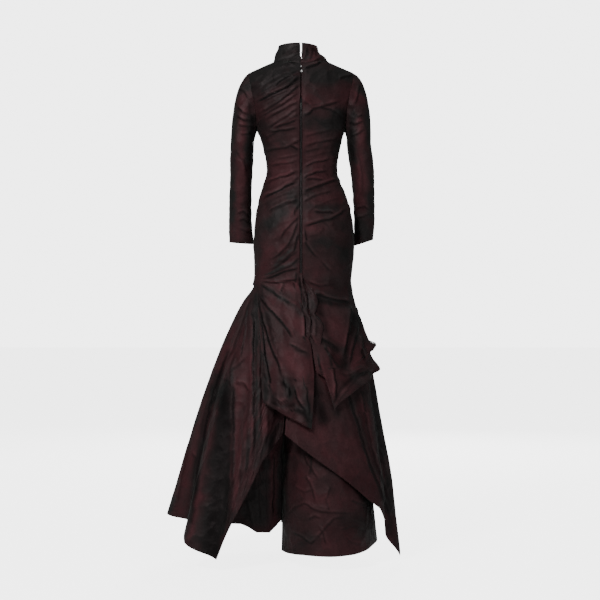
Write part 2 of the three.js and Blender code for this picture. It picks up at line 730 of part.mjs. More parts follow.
// Body panels
const BACK_COLUMNS = evenly(8);
const pleatRows = (table) => evenly(2 * (table.length - 1));
add("back_left", wall(backPanel(-1), BACK_COLUMNS, pleatRows(PLEATS_LEFT)), COLOURS.taffeta);
add("back_right", wall(backPanel(1), BACK_COLUMNS, pleatRows(PLEATS_RIGHT)), COLOURS.taffeta);
add("front", wall(frontPanel, evenly(16), evenly(2 * (FRONT.length - 1))), COLOURS.taffeta);
add("collar", wall(collar, evenly(28), evenly(4)), COLOURS.taffeta);

// Sleeves
const ROUND = Array.from({ length: 24 }, (_, k) => k * 15);
add("sleeve_left", wall(sleeve(-1), ROUND, evenly(15), CLOTH, true), COLOURS.taffeta);
add("sleeve_right", wall(sleeve(1), ROUND, evenly(15), CLOTH, true), COLOURS.taffeta);

// Skirts
const skirtRows = (count) => evenly(count).map((share) => share ** 1.35);
const overLeft = wall(overskirt(-1), columns(OVERSKIRT_HEM_LEFT, 6), skirtRows(9));
const overRight = wall(overskirt(1), columns(OVERSKIRT_HEM_RIGHT, 6), skirtRows(9));
add("overskirt_left", overLeft, COLOURS.taffeta);
add("overskirt_right", overRight, COLOURS.taffeta);
add("underskirt_left", wall(underskirt(-1), columns(UNDER_HEM_LEFT, 8), skirtRows(7)), COLOURS.taffeta);
add("underskirt_right", wall(underskirt(1), columns(UNDER_HEM_RIGHT, 10), skirtRows(7)), COLOURS.taffeta);
add("frill_left", wall(frill(-1), evenly(2), evenly(30), FRILL.wall), COLOURS.taffeta);
add("frill_right", wall(frill(1), evenly(2), evenly(30), FRILL.wall), COLOURS.taffeta);

// Zip
const tape = (side) => strip(side * 0.3, side * ZIP.tape, ZIP.top, ZIP.bottom, -2.7);
add("zip_tape_left", wall(tape(-1), evenly(2), evenly(30), ZIP.tapeWall), COLOURS.tape, 0.8);
add("zip_tape_right", wall(tape(1), evenly(2), evenly(30), ZIP.tapeWall), COLOURS.tape, 0.8);
const chain = strip(-ZIP.chain, ZIP.chain, SLIDER.bottom - 0.5, ZIP.bottom, -1.1);
add("zip_coil", wall(chain, evenly(1), evenly(30), ZIP.chainWall), COLOURS.steel, 0.4, 0.6);

// The slider: a rounded body with a strap arched over its face, joined as one solid.
const wasm = await Module();
wasm.setup();

function toSolid(geometry) {
  const bare = geometry.clone();
  bare.deleteAttribute("normal");
  bare.deleteAttribute("uv");
  const merged = mergeVertices(bare, 1e-4);
  return new wasm.Manifold(new wasm.Mesh({
    numProp: 3,
    vertProperties: new Float32Array(merged.attributes.position.array),
    triVerts: new Uint32Array(merged.index.array),
  }));
}

function toGeometry(solid) {
  const mesh = solid.getMesh();
  const geometry = new THREE.BufferGeometry();
  geometry.setAttribute("position", new THREE.BufferAttribute(new Float32Array(mesh.vertProperties), 3));
  geometry.setIndex(Array.from(mesh.triVerts));
  geometry.computeVertexNormals();
  return geometry;
}

const sliderFace = figure(angleOf(0, SLIDER.middle), SLIDER.middle, SLIDER.front).y;
const high = (SLIDER.top - SLIDER.bottom) / 2;
const outline = new THREE.Shape();
outline.moveTo(-SLIDER.half + 1.3, -high);
outline.lineTo(SLIDER.half - 1.3, -high);
outline.lineTo(SLIDER.half, high - 2);
outline.quadraticCurveTo(SLIDER.half, high, SLIDER.half - 2, high);
outline.lineTo(-SLIDER.half + 2, high);
outline.quadraticCurveTo(-SLIDER.half, high, -SLIDER.half, high - 2);
const flat = (depth, curveSegments) => ({ depth, bevelEnabled: false, curveSegments });
const body = new THREE.ExtrudeGeometry(outline, flat(SLIDER.deep, 4));
body.rotateX(Math.PI / 2);
body.translate(0, sliderFace + SLIDER.deep, SLIDER.middle);
const arch = new THREE.Shape();
arch.moveTo(-0.6, -5);
arch.lineTo(2.2, -5);
arch.quadraticCurveTo(3.4, -4, 3.4, 0);
arch.quadraticCurveTo(3.4, 4, 2.2, 5);
arch.lineTo(-0.6, 5);
const eye = new THREE.Path();
eye.moveTo(0.1, -3.4);
eye.lineTo(0.1, 3.4);
eye.lineTo(1.6, 3.2);
eye.quadraticCurveTo(2.4, 2.4, 2.4, 0);
eye.quadraticCurveTo(2.4, -2.4, 1.6, -3.2);
arch.holes.push(eye);
const strap = new THREE.ExtrudeGeometry(arch, flat(SLIDER.strap, 5));
strap.translate(0, 0, -SLIDER.strap / 2);
strap.applyMatrix4(new THREE.Matrix4().makeBasis(
  new THREE.Vector3(0, -1, 0),
  new THREE.Vector3(0, 0, 1),
  new THREE.Vector3(-1, 0, 0),
));
strap.translate(0, sliderFace, SLIDER.middle);
add("zip_slider", toGeometry(toSolid(body).add(toSolid(strap))), COLOURS.metal, 0.3, 0.9);

// The pull tab: a bar through the strap's eye, a window that clears the strap, and a plate.
const tab = new THREE.Shape();
tab.moveTo(-2.4, 0.5);
tab.lineTo(-2.4, -14);
tab.quadraticCurveTo(-2.4, -17, 0, -17);
tab.quadraticCurveTo(2.4, -17, 2.4, -14);
tab.lineTo(2.4, 0.5);
const opening = new THREE.Path();
opening.moveTo(-1.3, -0.5);
opening.lineTo(1.3, -0.5);
opening.lineTo(1.3, -6.2);
opening.lineTo(-1.3, -6.2);
tab.holes.push(opening);
const pull = new THREE.ExtrudeGeometry(tab, flat(0.9, 5));
pull.rotateX(Math.PI / 2);
pull.translate(0, sliderFace - HINGE_OUT + 0.45, SLIDER.middle);
add("zip_pull", pull, COLOURS.metal, 0.3, 0.9);

// Neck buttons: domed, lying on the collar and the back along the opening.
for (const [index, { x, height, radius, onCollar }] of BUTTONS.entries()) {
  const surface = (dx, dz) => onCollar
    ? new THREE.Vector3(x + dx, smooth(COLLAR, "share", (height + dz - 1) / 68, "back"), height + dz)
    : bodice(angleOf(x + dx, height + dz), height + dz);
  const along = surface(1, 0).sub(surface(-1, 0));
  const up = surface(0, 1).sub(surface(0, -1));
  const normal = along.clone().cross(up).normalize();
  const dome = new THREE.LatheGeometry([
    new THREE.Vector2(0, 0),
    new THREE.Vector2(radius, 0),
    new THREE.Vector2(radius, 0.7),
    new THREE.Vector2(0.72 * radius, 1.7),
    new THREE.Vector2(0, 2.1),
  ], 16);
  dome.applyQuaternion(new THREE.Quaternion().setFromUnitVectors(new THREE.Vector3(0, 1, 0), normal));
  const seat = surface(0, 0).addScaledVector(normal, CLOTH / 2 + 0.5);
  dome.translate(seat.x, seat.y, seat.z);
  add(`neck_button_${index + 1}`, dome, COLOURS.metal, 0.25, 0.9);
}

export default gown;
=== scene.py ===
"""Looks of the evening gown: fine cloth shells on the solids' form, shot taffeta, zip and studio."""
import math
from functools import partial

import bmesh
import bpy
import numpy as np
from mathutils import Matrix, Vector


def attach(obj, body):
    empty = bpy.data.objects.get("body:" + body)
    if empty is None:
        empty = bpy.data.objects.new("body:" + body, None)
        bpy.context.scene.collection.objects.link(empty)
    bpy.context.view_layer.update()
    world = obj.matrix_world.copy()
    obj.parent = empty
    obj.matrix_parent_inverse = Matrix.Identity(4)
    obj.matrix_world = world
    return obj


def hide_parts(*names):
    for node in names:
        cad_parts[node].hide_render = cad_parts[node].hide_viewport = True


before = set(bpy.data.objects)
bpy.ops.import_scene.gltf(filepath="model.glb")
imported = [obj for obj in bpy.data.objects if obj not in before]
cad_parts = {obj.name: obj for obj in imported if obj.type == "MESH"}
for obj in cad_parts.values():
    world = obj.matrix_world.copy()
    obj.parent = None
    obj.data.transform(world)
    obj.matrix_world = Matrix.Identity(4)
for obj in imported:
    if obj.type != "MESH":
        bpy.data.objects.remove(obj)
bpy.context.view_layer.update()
FINE = 1.0

# Sizes of the figure in millimetres. The back faces -Y and heights fall from the shoulders.
SKIRT_TOP = -742
UNDERARM = -215
SHOULDER_X, SHOULDER_Y, SHOULDER_Z = 180, 5, -26
NECK_SIDE, NECK_MIDDLE, NECK_SIDE_Z = 93, 5, 13
NECK = {"back": (-52, 1), "front": (58, -30)}
YOKE_ROUNDING = 95
NECK_SHARE = 0.375
SLIT_TOP = -1010
WALL = 1.3
# How far the peplum stands off the skirt, and how high its swags and its roll at the hip rise
PEPLUM_CLEAR, SWAG_RISE, ROLL_RISE = 14, 3.5, 5
# How deep the skirts' tops lie inside the panels, and the overskirt's hollow beside its slit
OVER_TUCK, UNDER_TUCK, SLIT_HOLLOW = 3.6, 6.4, 46
FLUTE_LENGTH = 860
BODY_RADIUS, COLLAR_LENGTH, SLEEVE_LENGTH = 170, 440, 600
# How far a sleeve's cap bulges out and drops, and how its cuff is tilted, by side
CAP_OUT, CAP_DROP, CUFF_TILT = {-1: 36, 1: 45}, {-1: 22, 1: 17}, {-1: -3, 1: -11}

# How many rows of pleats bend into the line of the neck and shoulder
TOP_ROWS = 3

# The view from behind, which the camera and the grid of listed folds share
VIEW_DISTANCE, VIEW_X, VIEW_Z = 5000, -3.4, -796
SQUARE, GRID_MIDDLE = 3.4, 300

# How a listed fold is shaped, in millimetres and squares of the grid
MOST_LIFT = 9
SWAY, SWAY_SIZE = 0.7, 7
# Where the painted shade lies below a fold's line, and where and how bright the painted highlight on its
# crest is
PAINTED_SHADE_BELOW, PAINTED_SHADE_WIDTH = 0.75, 1.05
CREST_ABOVE, CREST_WIDTH, CREST_PAINTED_HIGHLIGHT = 1.5, 1.1, 0.9
# The lowest value kept for thread colour and for painted shade, which below 0 is painted light
PALEST = -0.8

# Thread colour, from 0 for green-black to 1 for wine
# Bent and upturned are painted sheen: green-black painted on fold flanks and on upward-tilted facets
TONE = {"plain": 0.56, "patch": 0.3, "small_patch": 0.16, "wash": 0.6, "bent": 0.45, "upturned_painted_sheen": 0.6}
GREEN_BLACK = (0.0185, 0.0176, 0.0172)
WINE = (0.059, 0.0190, 0.0225)
FACET_TONE = 0.13


def table(names, rows):
    columns = np.array(rows, float).T
    return dict(zip(names.split(), columns))


FIGURE = table("height left right seam back front", [
    (40, -200, 200, 5, -55, 60),
    (-60, -193, 193, 5, -84, 84),
    (-130, -180, 180, 5, -97, 104),
    (-180, -163, 163, 5, -98, 117),
    (-215, -150, 150, 5, -96, 121),
    (-260, -133, 137, 6, -88, 116),
    (-354, -116, 122, 8, -73, 98),
    (-450, -141, 155, 2, -96, 104),
    (-540, -156, 176, -4, -121, 110),
    (-612, -160, 180, -6, -126, 110),
    (-700, -158, 173, -5, -117, 106),
    (-742, -162, 169, -4, -114, 106),
    (-800, -196, 174, -4, -128, 120),
    (-900, -245, 200, -4, -160, 148),
    (-1000, -284, 232, -4, -190, 176),
    (-1200, -351, 265, -4, -242, 226),
    (-1400, -406, 297, -4, -292, 270),
    (-1510, -438, 306, -4, -318, 290),
    (-1660, -478, 321, -4, -346, 314),
])
ARMHOLE = table("height out", [
    (-26, 180), (-60, 173), (-110, 163), (-160, 155), (-195, 151), (-215, 150),
])
CENTRE = {
    -1: table("height x", [
        (1, -1.6), (-114, -1.6), (-130, -4.5), (-718, -4.5), (-735, -0.5), (-800, 6), (-900, 17),
        (-945, 31), (-1035, 40), (-1100, 39), (-1214, 32),
    ]),
    1: table("height x", [
        (1, 1.6), (-114, 1.6), (-130, 4.5), (-718, 4.5), (-735, 1.5), (-800, 8), (-900, 19),
        (-945, 33), (-1030, 46), (-1050, 74), (-1098, 88), (-1156, 105),
    ]),
}

# Rows of pleats down each back panel: height at the centre back and at the outer edge, and rise.
PLEATS = {
    -1: table("centre edge rise", [
        (1, -26, 0), (-8, -64, 2), (-20, -100, 3), (-36, -120, 3), (-62, -138, 4), (-80, -153, 3),
        (-98, -168, 3), (-119, -186, 3.5), (-145, -211, 3.5), (-181, -232, 3), (-210, -252, 2.5),
        (-238, -274, 2), (-263, -299, 2.5), (-293, -322, 1.5), (-324, -347, 2), (-345, -370, 1.5),
        (-366, -402, 3), (-393, -462, 4), (-420, -502, 3), (-464, -560, 4), (-512, -632, 3),
        (-545, -682, 3), (-604, -708, 3), (-643, -722, 3), (-681, -732, 3), (-718, -741, 3),
        (-774, -765, 3), (-840, -800, 5), (-905, -850, 3), (-968, -906, 3), (-1035, -970, 3),
        (-1095, -1030, 4), (-1152, -1082, 4), (-1214, -1128, 0),
    ]),
    1: table("centre edge rise", [
        (1, -26, 0), (-30, -44, 2), (-64, -76, 1), (-108, -102, 1), (-175, -126, 3),
        (-208, -184, 3), (-240, -214, 2), (-275, -240, 2), (-303, -260, 2), (-329, -286, 1.5),
        (-349, -308, 2), (-371, -329, 2), (-392, -351, 2.5), (-431, -387, 4), (-467, -420, 3),
        (-506, -450, 2.5), (-549, -478, 4), (-592, -560, 1.5), (-642, -640, 1.5),
        (-690, -704, 1.5), (-735, -741, 1.5), (-774, -800, 3), (-818, -834, 2), (-864, -862, 2),
        (-912, -888, 3), (-960, -914, 3), (-1008, -940, 4), (-1056, -966, 3), (-1106, -992, 3),
        (-1156, -1018, 0),
    ]),
}
# The frilled edges of the centre-back seam: from the crease to the wavy edge, by height.
FRILL = {
    -1: table("height inner outer", [
        (-706, -4, 4), (-722, -8, 5), (-740, -8, 6), (-766, -2, 14.5), (-794, 1, 19), (-836, 5, 20),
        (-862, 14, 28.4), (-905, 14.5, 28), (-925, 18, 22),
    ]),
    1: table("height inner outer", [
        (-712, 4, 5), (-736, 9, 13), (-753, 16, 27), (-770, 21, 40.6), (-786, 20, 49), (-808, 19, 52),
        (-830, 25, 46), (-841, 27.5, 40.6), (-858, 28, 52), (-874, 28.4, 63), (-891, 26, 67),
        (-913, 27, 63), (-932, 40, 60), (-952, 52, 56),
    ]),
}
# Below the hip the panels hang free: their outer edge's distance from the middle by height.
FREE_EDGE = {
    -1: table("height x", [
        (-742, -165), (-765, -147), (-800, -142), (-850, -137), (-906, -131), (-970, -127),
        (-1030, -125), (-1082, -124), (-1128, -120),
    ]),
    1: table("height x", [
        (-742, 172), (-800, 185), (-834, 194), (-862, 202), (-888, 209), (-914, 215),
        (-940, 226), (-966, 217), (-992, 224), (-1018, 240),
    ]),
}
# The right panel's pointed tips: height, reach and half height
PEPLUM_TIPS = ((-944, 24, 9), (-1016, 12, 10))
PLEATS_FRONT = table("left right rise", [
    (-26, -26, 0), (-64, -52, 2), (-110, -88, 3), (-150, -124, 4), (-186, -158, 4),
    (-224, -196, 3.5), (-258, -226, 4), (-296, -258, 4), (-334, -292, 3), (-372, -326, 4),
    (-412, -360, 5), (-452, -394, 6), (-494, -430, 5), (-540, -470, 6), (-592, -520, 5),
    (-646, -580, 4), (-694, -650, 3), (-746, -746, 0),
])
SLEEVE = {
    -1: table("height x y across deep", [
        (-262, -199, 6, 39.5, 54), (-300, -201.5, 8, 39.5, 51), (-380, -204, 16, 37.5, 44),
        (-460, -207, 28, 37.5, 40), (-540, -207, 42, 39, 40), (-601, -204, 52, 42, 42),
    ]),
    1: table("height x y across deep", [
        (-262, 197, 6, 41, 54), (-300, 201, 8, 41, 51), (-380, 211, 18, 38.5, 44),
        (-460, 215.5, 32, 35.5, 39), (-540, 217, 48, 34.5, 38), (-600, 213, 58, 34.5, 38),
    ]),
}
COLLAR = table("share side shift back front sideZ backZ frontZ left right", [
    (0, 93, 0, -52, 58, 13, 1, -30, 1.8, 1.8),
    (0.25, 86, -4, -51, 56, 27, 18, -12, 1.8, 1.8),
    (0.5, 76, -9, -50, 57, 40, 36, 6, 2.2, 2),
    (0.75, 70, -11, -50, 60, 54, 54, 24, 2.2, 2.4),
    (1, 65.5, -11, -51, 62, 67, 71, 42, 3, 2.6),
])
# Long folds of the overskirt: angle from the centre back, rise at the hem, half width in degrees.
FLUTES = table("angle rise width", [
    (-172, 14, 9), (-150, 18, 9), (-126, 16, 9), (-104, 18, 8), (-84, 16, 9), (-64, -34, 8),
    (-46, 26, 9), (-33, -10, 5), (-24, 9, 4), (-16, -6, 4), (22, -3, 12), (62, 8, 7),
    (71, -14, 4), (80, 20, 6), (98, -14, 8), (116, 20, 9), (140, 16, 10), (164, 14, 9),
])
OVER_HEM = {
    -1: table("angle height", [
        (-2.6, -1228), (-13.6, -1318), (-23.8, -1502), (-27.6, -1570), (-30.2, -1628),
        (-49, -1582), (-60, -1525), (-90, -1514), (-130, -1508), (-179.88, -1504),
    ]),
    1: table("angle height", [
        (-1.4, -1231), (14.7, -1300), (33, -1374), (50, -1446), (60, -1482), (79, -1652),
        (89, -1570), (100, -1512), (130, -1500), (179.88, -1504),
    ]),
}
UNDER_RIGHT = table("height centre half back front start", [
    (-750, 3, 158, -106, 97, 1), (-900, 16, 165, -138, 130, 17), (-1050, 36, 152, -176, 158, 37),
    (-1228, 64, 145, -214, 190, 58), (-1400, 80, 154, -248, 222, 65),
    (-1640, 93, 166, -283, 256, 73),
])
UNDER_LEFT = table("height half", [
    (-750, 160), (-900, 196), (-1050, 222), (-1228, 256), (-1400, 296), (-1640, 340),
])
UNDER_HEM = {
    1: table("angle height", [
        (-71, -1632), (-55, -1630), (-30, -1622), (30, -1620), (60, -1610), (90, -1604),
        (180, -1588),
    ]),
    -1: table("angle height", [
        (0, -1526), (-3, -1548), (-7, -1573), (-15, -1573), (-20, -1556), (-25, -1545),
        (-50, -1542), (-90, -1546), (-180, -1588),
    ]),
}

# Folds listed for the back. Their points are squares of a 600 by 600 grid laid over the
# back view, 3.4 mm a square. Each fold rises gently to its crest, by rise mm over width squares,
# and drops sharply below it, where shade says how dark the hollow is.
# The shade column paints shade: it darkens the colour in the hollow below each fold's line.
FOLDS = {
    "back_left": [
        (3, 5, 0.8, ((299, 61), (290, 63.5), (280, 66.5))),
        (4, 4, 0.5, ((298, 69), (285, 77), (272, 88), (258, 98))),
        (6, 4.5, 0.9, ((299, 76), (292, 82.5), (282, 89), (268, 95.5), (254, 103))),
        (3, 5, 0.2, ((277, 66), (264, 80), (252, 92))),
        (2.5, 4, 0.1, ((263, 73), (256, 80), (250, 86))),
        (2, 3, 0.3, ((262, 84.5), (250, 88))),
        (4, 3.5, 0.6, ((299, 84), (292, 91), (281, 100), (268, 108), (257, 114))),
        (3, 3, 0.4, ((298, 93), (284, 103), (268, 112), (258, 117))),
        (3, 3, 0.4, ((299, 101), (290, 105), (274, 114), (262, 121))),
        (3, 3, 0.6, ((299, 108), (290, 113), (276, 122), (266, 129))),
        (2.5, 3, 0.4, ((299, 114), (288, 120), (276, 126))),
        (3.5, 3, 0.9, ((296, 120), (286, 123), (273, 128))),
        (3, 2.5, 0.9, ((297, 127.5), (284, 129.5), (268, 131))),
        (2.5, 3, 0.4, ((280, 129), (270, 135), (264, 139))),
        (2.5, 2.5, 0.6, ((300, 140), (291, 144.5), (285, 147), (263, 151))),
        (2, 2, 0.8, ((291, 145), (299, 149.5))),
        (2, 2.5, 0.3, ((299, 154), (285, 157), (276, 159))),
        (2, 2.5, 0.4, ((296, 161), (284, 163.5), (270, 165))),
        (3.5, 3, 0.7, ((297, 171), (284, 176), (272, 180), (264, 184))),
        (2, 2.5, 0.3, ((299, 177), (288, 183))),
        (6, 4.5, 1.0, ((296, 181), (287, 185.5), (277, 190.5), (270, 194), (262, 199.5))),
        (2.5, 3, 0.2, ((290, 191), (276, 197), (260, 207))),
        (6, 4.5, 1.0, ((298, 200.5), (287, 202.5), (277, 207), (268, 212))),
        (3, 3, 0.4, ((299, 205), (294, 211), (292, 218))),
        (3, 3.5, 0.5, ((299, 217), (291, 224), (284, 231), (278, 240))),
        (4, 3.5, 0.5, ((297, 222), (293, 236), (288, 244), (279, 254), (268, 261))),
        (4, 3, 0.6, ((299, 232), (296, 241), (294, 250), (284, 259), (274, 264))),
        (3.5, 3, 0.5, ((298, 250), (288, 257), (277, 266), (267, 270))),
        (3.5, 3, 0.5, ((299, 257), (292, 264), (280, 270), (266, 276))),
        (5, 3.5, 0.7, ((299, 267), (285, 271), (272, 276), (261, 280))),
        (4, 3, 0.8, ((298, 279), (285, 281), (270, 282), (261, 282))),
        (2.5, 2.5, 0.5, ((284, 283), (281, 291), (284, 296))),
        (2.5, 2.5, 0.5, ((296, 272), (294, 283), (297, 292))),
        (6, 5, 0.5, ((261, 284), (272, 291), (285, 299), (301, 309))),
        (7, 5, 0.8, ((259, 297), (266, 303), (274, 312), (282, 322), (290, 332), (294, 340))),
        (7, 5, 1.0, ((259, 300), (263, 315), (268, 335), (273, 350), (280, 365), (283, 379))),
        (4, 3, 0.9, ((258, 292), (261, 318), (263, 340), (266, 362), (270, 384), (274, 402))),
        (3, 3, 0.6, ((264, 350), (263, 372), (265, 392))),
        (5, 5, 0.8, ((289, 343), (298, 348.5), (309, 354))),
        (3, 3, 0.8, ((283, 376), (290, 378.5), (299, 379))),
        (4, 3.5, 0.8, ((284, 380), (288, 388), (289, 399))),
        (4, 3.5, 0.9, ((293, 384), (297, 397), (304, 408), (309, 415))),
        (3, 3, 0.3, ((303, 374), (306, 388), (307, 402), (310, 420))),
        (3, 3, 0.5, ((272, 396), (281, 402), (290, 400))),
        (2.5, 3, 0.7, ((287, 411), (297, 409), (308, 413))),
        (3, 2.5, 0.4, ((263, 401), (272, 407), (284, 412), (296, 417))),
        (4, 3, 0.9, ((300, 300), (303, 312), (305, 322), (304, 336), (307, 346))),
    ],
    "back_right": [
        (5, 4, 1.0, ((303, 69), (309, 67), (316, 64), (324, 59))),
        (1.5, 3, 0.3, ((304, 82), (312, 87), (321, 92))),
        (3, 3, 0.6, ((339, 78.5), (346, 76), (353, 74.5))),
        (5, 4.5, 0.8, ((303, 115), (309, 112), (313, 108.5), (320, 106.5), (330, 103), (341, 100))),
        (4, 4, 0.7, ((319, 107), (330, 108.5), (337, 112), (344, 120))),
        (2, 3, 0.4, ((303, 99), (308, 104), (313, 107.5))),
        (2, 2.2, 0.4, ((304, 137), (318, 132), (333, 128.5))),
        (2, 2.2, 0.4, ((304, 146), (316, 142), (330, 140), (339, 138))),
        (1.5, 2, 0.3, ((305, 151), (320, 147.5))),
        (1.5, 2, 0.2, ((306, 157), (322, 153), (334, 152))),
        (2, 2, 0.6, ((305, 167), (312, 163), (320, 160.5), (331, 158))),
        (2.5, 2.5, 0.7, ((303, 178), (309, 175), (316, 172), (328, 170))),
        (2, 2, 0.8, ((306, 178.5), (313, 178.5), (324, 180))),
        (5.5, 3.5, 1.0, ((303, 191), (312, 188), (322, 184.5), (332, 180.5), (339, 179))),
        (3, 3, 0.5, ((303, 202), (312, 197), (320, 194), (333, 190))),
        (2, 3, 0.2, ((306, 213), (316, 206), (330, 200), (343, 197))),
        (3, 2.5, 0.9, ((314, 211.5), (326, 212), (335, 213))),
        (6, 4, 0.9, ((304, 226.5), (312, 223), (320, 220.5), (330, 218), (340, 213), (348, 207))),
        (3, 3, 0.6, ((304, 228), (306, 242), (311, 250), (316, 256), (321, 259))),
        (2, 3, 0.3, ((322, 221), (329, 226), (335, 221))),
        (2, 2.5, 0.4, ((321, 261), (328, 268), (333, 271))),
        (2, 3, 0.3, ((309, 236), (318, 234), (324, 227))),
        (7, 5, 0.9, ((314, 292.5), (326, 297), (338, 300), (353, 302))),
        (3, 3, 0.6, ((308, 281), (318, 285), (334, 284))),
        (4, 3.5, 0.8, ((313, 312), (319, 318), (324, 330))),
        (5, 5, 0.8, ((319, 336), (328, 342), (337, 349))),
        (5, 4, 1.0, ((325, 345), (330, 356), (336, 364), (342, 368))),
        (6, 5, 0.9, ((350, 306), (348, 328), (345, 345), (342, 360))),
        (5, 4, 0.9, ((356, 306), (357, 325), (353, 345), (348, 368))),
        (4, 3, 0.8, ((361, 334), (362, 350), (366, 363))),
        (4, 3.5, 0.9, ((318, 352), (323, 376), (328, 392), (333, 406))),
        (5, 3.5, 0.8, ((329, 352), (333, 368), (335, 385), (335, 407))),
        (3, 3, 0.4, ((367, 369), (357, 377), (349, 386), (340, 398), (335, 408))),
        (3, 2.5, 0.4, ((340, 372), (346, 375), (356, 372), (366, 366))),
    ],
    "collar": [
        (3, 3, 0.7, ((299, 49), (296, 52), (293, 56), (287, 60))),
        (2.5, 3, 0.4, ((297, 45), (291, 48), (286, 53))),
        (2, 3, 0.4, ((299, 56), (290, 57), (281, 60), (276, 64))),
        (2, 3, 0.3, ((288, 44), (284, 50), (281, 57))),
        (3, 2.5, 0.7, ((303, 60), (306, 54), (307, 47))),
        (2.5, 2.5, 0.5, ((309, 60), (312, 53), (311, 46))),
        (3, 2.5, 0.6, ((316, 57), (315, 51), (312, 46))), (3, 2.5, 0.6, ((303, 65), (311, 62), (320, 57))),
    ],
    "frill_right": [
        (2, 2.5, 1.0, ((303, 280), (306, 287), (308, 293), (307, 302), (309, 312))),
        (2, 2.5, 1.0, ((309, 308), (310, 324), (309, 333), (313, 341), (315, 348))),
        (2, 2.5, 0.5, ((311, 300), (312, 306), (311, 312))),
        (2, 2.5, 0.5, ((314, 318), (316, 328), (315, 338))),
    ],
    "frill_left": [
        (2, 2.5, 0.9, ((298, 276), (300, 290), (301, 303), (304, 316), (304, 329), (303, 337))),
        (2, 2, 0.5, ((304, 290), (304, 302), (306, 314))),
    ],
    "overskirt_left": [
        (5, 4, 0.5, ((251, 296), (244, 322), (233, 350), (226, 366))),
        (8, 6, 1.0, ((228, 352), (220, 376), (211, 405), (204, 440), (198, 475), (190, 518))),
        (6, 7, 0.6, ((236, 350), (231, 372), (232, 392), (233, 440), (233, 480), (230, 516))),
        (6, 4, 0.8, ((253, 300), (253, 340), (253, 400), (254, 440), (250, 468))),
        (4, 3, 0.6, ((259.5, 310), (260, 350), (260, 400), (260, 446))),
        (4, 4, 0.4, ((248, 306), (244, 335), (239, 366))),
        (3, 3, 0.5, ((222, 379), (229, 380), (236, 390))),
        (2.5, 3, 0.4, ((229, 371), (237, 366), (246, 357))),
        (3, 3, 0.5, ((236, 382), (244, 384), (251, 392))),
        (3, 4, 0.4, ((241, 425), (243, 450), (240, 480), (238, 500))),
        (3, 4, 0.3, ((247, 430), (248, 455), (243, 482))),
        (3, 4, 0.4, ((268, 412), (267, 432), (264, 450))),
        (2, 3, 0.5, ((192, 453), (199, 459))),
        (3, 5, 0.3, ((190, 440), (183, 472), (176, 508))),
    ],
    "overskirt_right": [
        (6, 5, 0.9, ((347, 388), (354, 412), (363, 444), (375, 478), (386, 506), (394, 530))),
        (4, 4, 0.6, ((359, 384), (364, 412), (371, 446), (383, 484), (393, 515))),
        (4, 3.5, 0.6, ((367, 378), (372, 412), (379, 448), (389, 484))),
        (2, 6, 0.1, ((300, 424), (318, 420), (330, 421))),
        (2, 8, 0.1, ((306, 452), (330, 440), (352, 444))),
    ],
    "underskirt_right": [
        (1.8, 2.4, 0.4, ((304, 453), (309, 464), (320, 480))),
        (2.0, 2.4, 0.4, ((306, 476), (311, 484), (316, 503))),
        (2.4, 2.6, 0.45, (
            (286, 516), (295, 507), (304, 503), (316, 510), (328, 512), (346, 513), (360, 512),
        )),
        (2.6, 2.8, 0.6, ((293, 531), (301, 535), (311, 543), (318, 537))),
        (2.2, 2.6, 0.45, ((316, 538), (327, 525), (334, 519), (348, 515))),
        (2.2, 2.4, 0.4, ((320, 527), (324, 535), (327, 545))),
        (3.0, 2.6, 0.6, ((350, 500), (360, 503), (373, 509))),
        (2.0, 2.4, 0.3, ((331, 486), (326, 498), (330, 512))),
        (2.2, 2.6, 0.4, ((340, 530), (352, 525), (366, 529))),
        (2.0, 3, 0.3, ((294, 486), (305, 492), (314, 489))),
        (2.0, 2.6, 0.3, ((345, 536), (352, 542), (364, 544))),
        (2.4, 2.6, 0.4, ((308, 520), (314, 516), (322, 518))),
        (4, 4, 0.35, ((311, 455), (311, 465), (309, 475))),
        (5, 5, 0.25, ((285, 430), (287, 480), (286, 530))),
    ],
    "underskirt_left": [
        (4, 4, 0.4, ((250, 478), (247, 500), (254, 528))),
        (4, 4, 0.6, ((259, 462), (258, 490), (260, 528))),
        (3, 3, 0.4, ((266, 458), (265, 490), (267, 526))),
        (4, 4, 0.9, ((273, 452), (273, 480), (271, 524))),
    ],
    "sleeve_left": [
        (2.5, 3, 0.6, ((240, 88), (245, 92), (250, 99))),
        (2.5, 3, 0.7, ((238, 107), (243, 112), (250, 114))),
        (3, 3, 0.8, ((237, 116), (244, 120), (253, 120))),
        (2.5, 3, 0.6, ((238, 125), (246, 126), (254, 127))),
        (2, 3, 0.5, ((240, 134), (248, 133), (253, 131))),
        (2, 3, 0.3, ((236, 150), (243, 160), (246, 176))),
        (2.5, 3, 0.6, ((237, 213), (243, 211), (249, 216))),
        (2, 2.5, 0.6, ((239, 220), (244, 218), (249, 223))),
        (2, 3, 0.3, ((240, 228), (248, 232), (254, 229))),
    ],
    "sleeve_right": [
        (2.5, 3, 0.5, ((359, 84), (357, 95), (354, 106))),
        (2.5, 3, 0.7, ((352, 112), (358, 116), (363, 114))),
        (2.5, 3, 0.7, ((349, 122), (356, 124), (364, 120))),
        (2, 3, 0.5, ((351, 136), (358, 133), (364, 128))),
        (2, 4, 0.3, ((357, 150), (361, 170), (362, 196))),
        (2, 3, 0.5, ((357, 208), (364, 206), (370, 210))),
        (2, 3, 0.4, ((356, 218), (363, 216), (369, 213))),
    ],
}
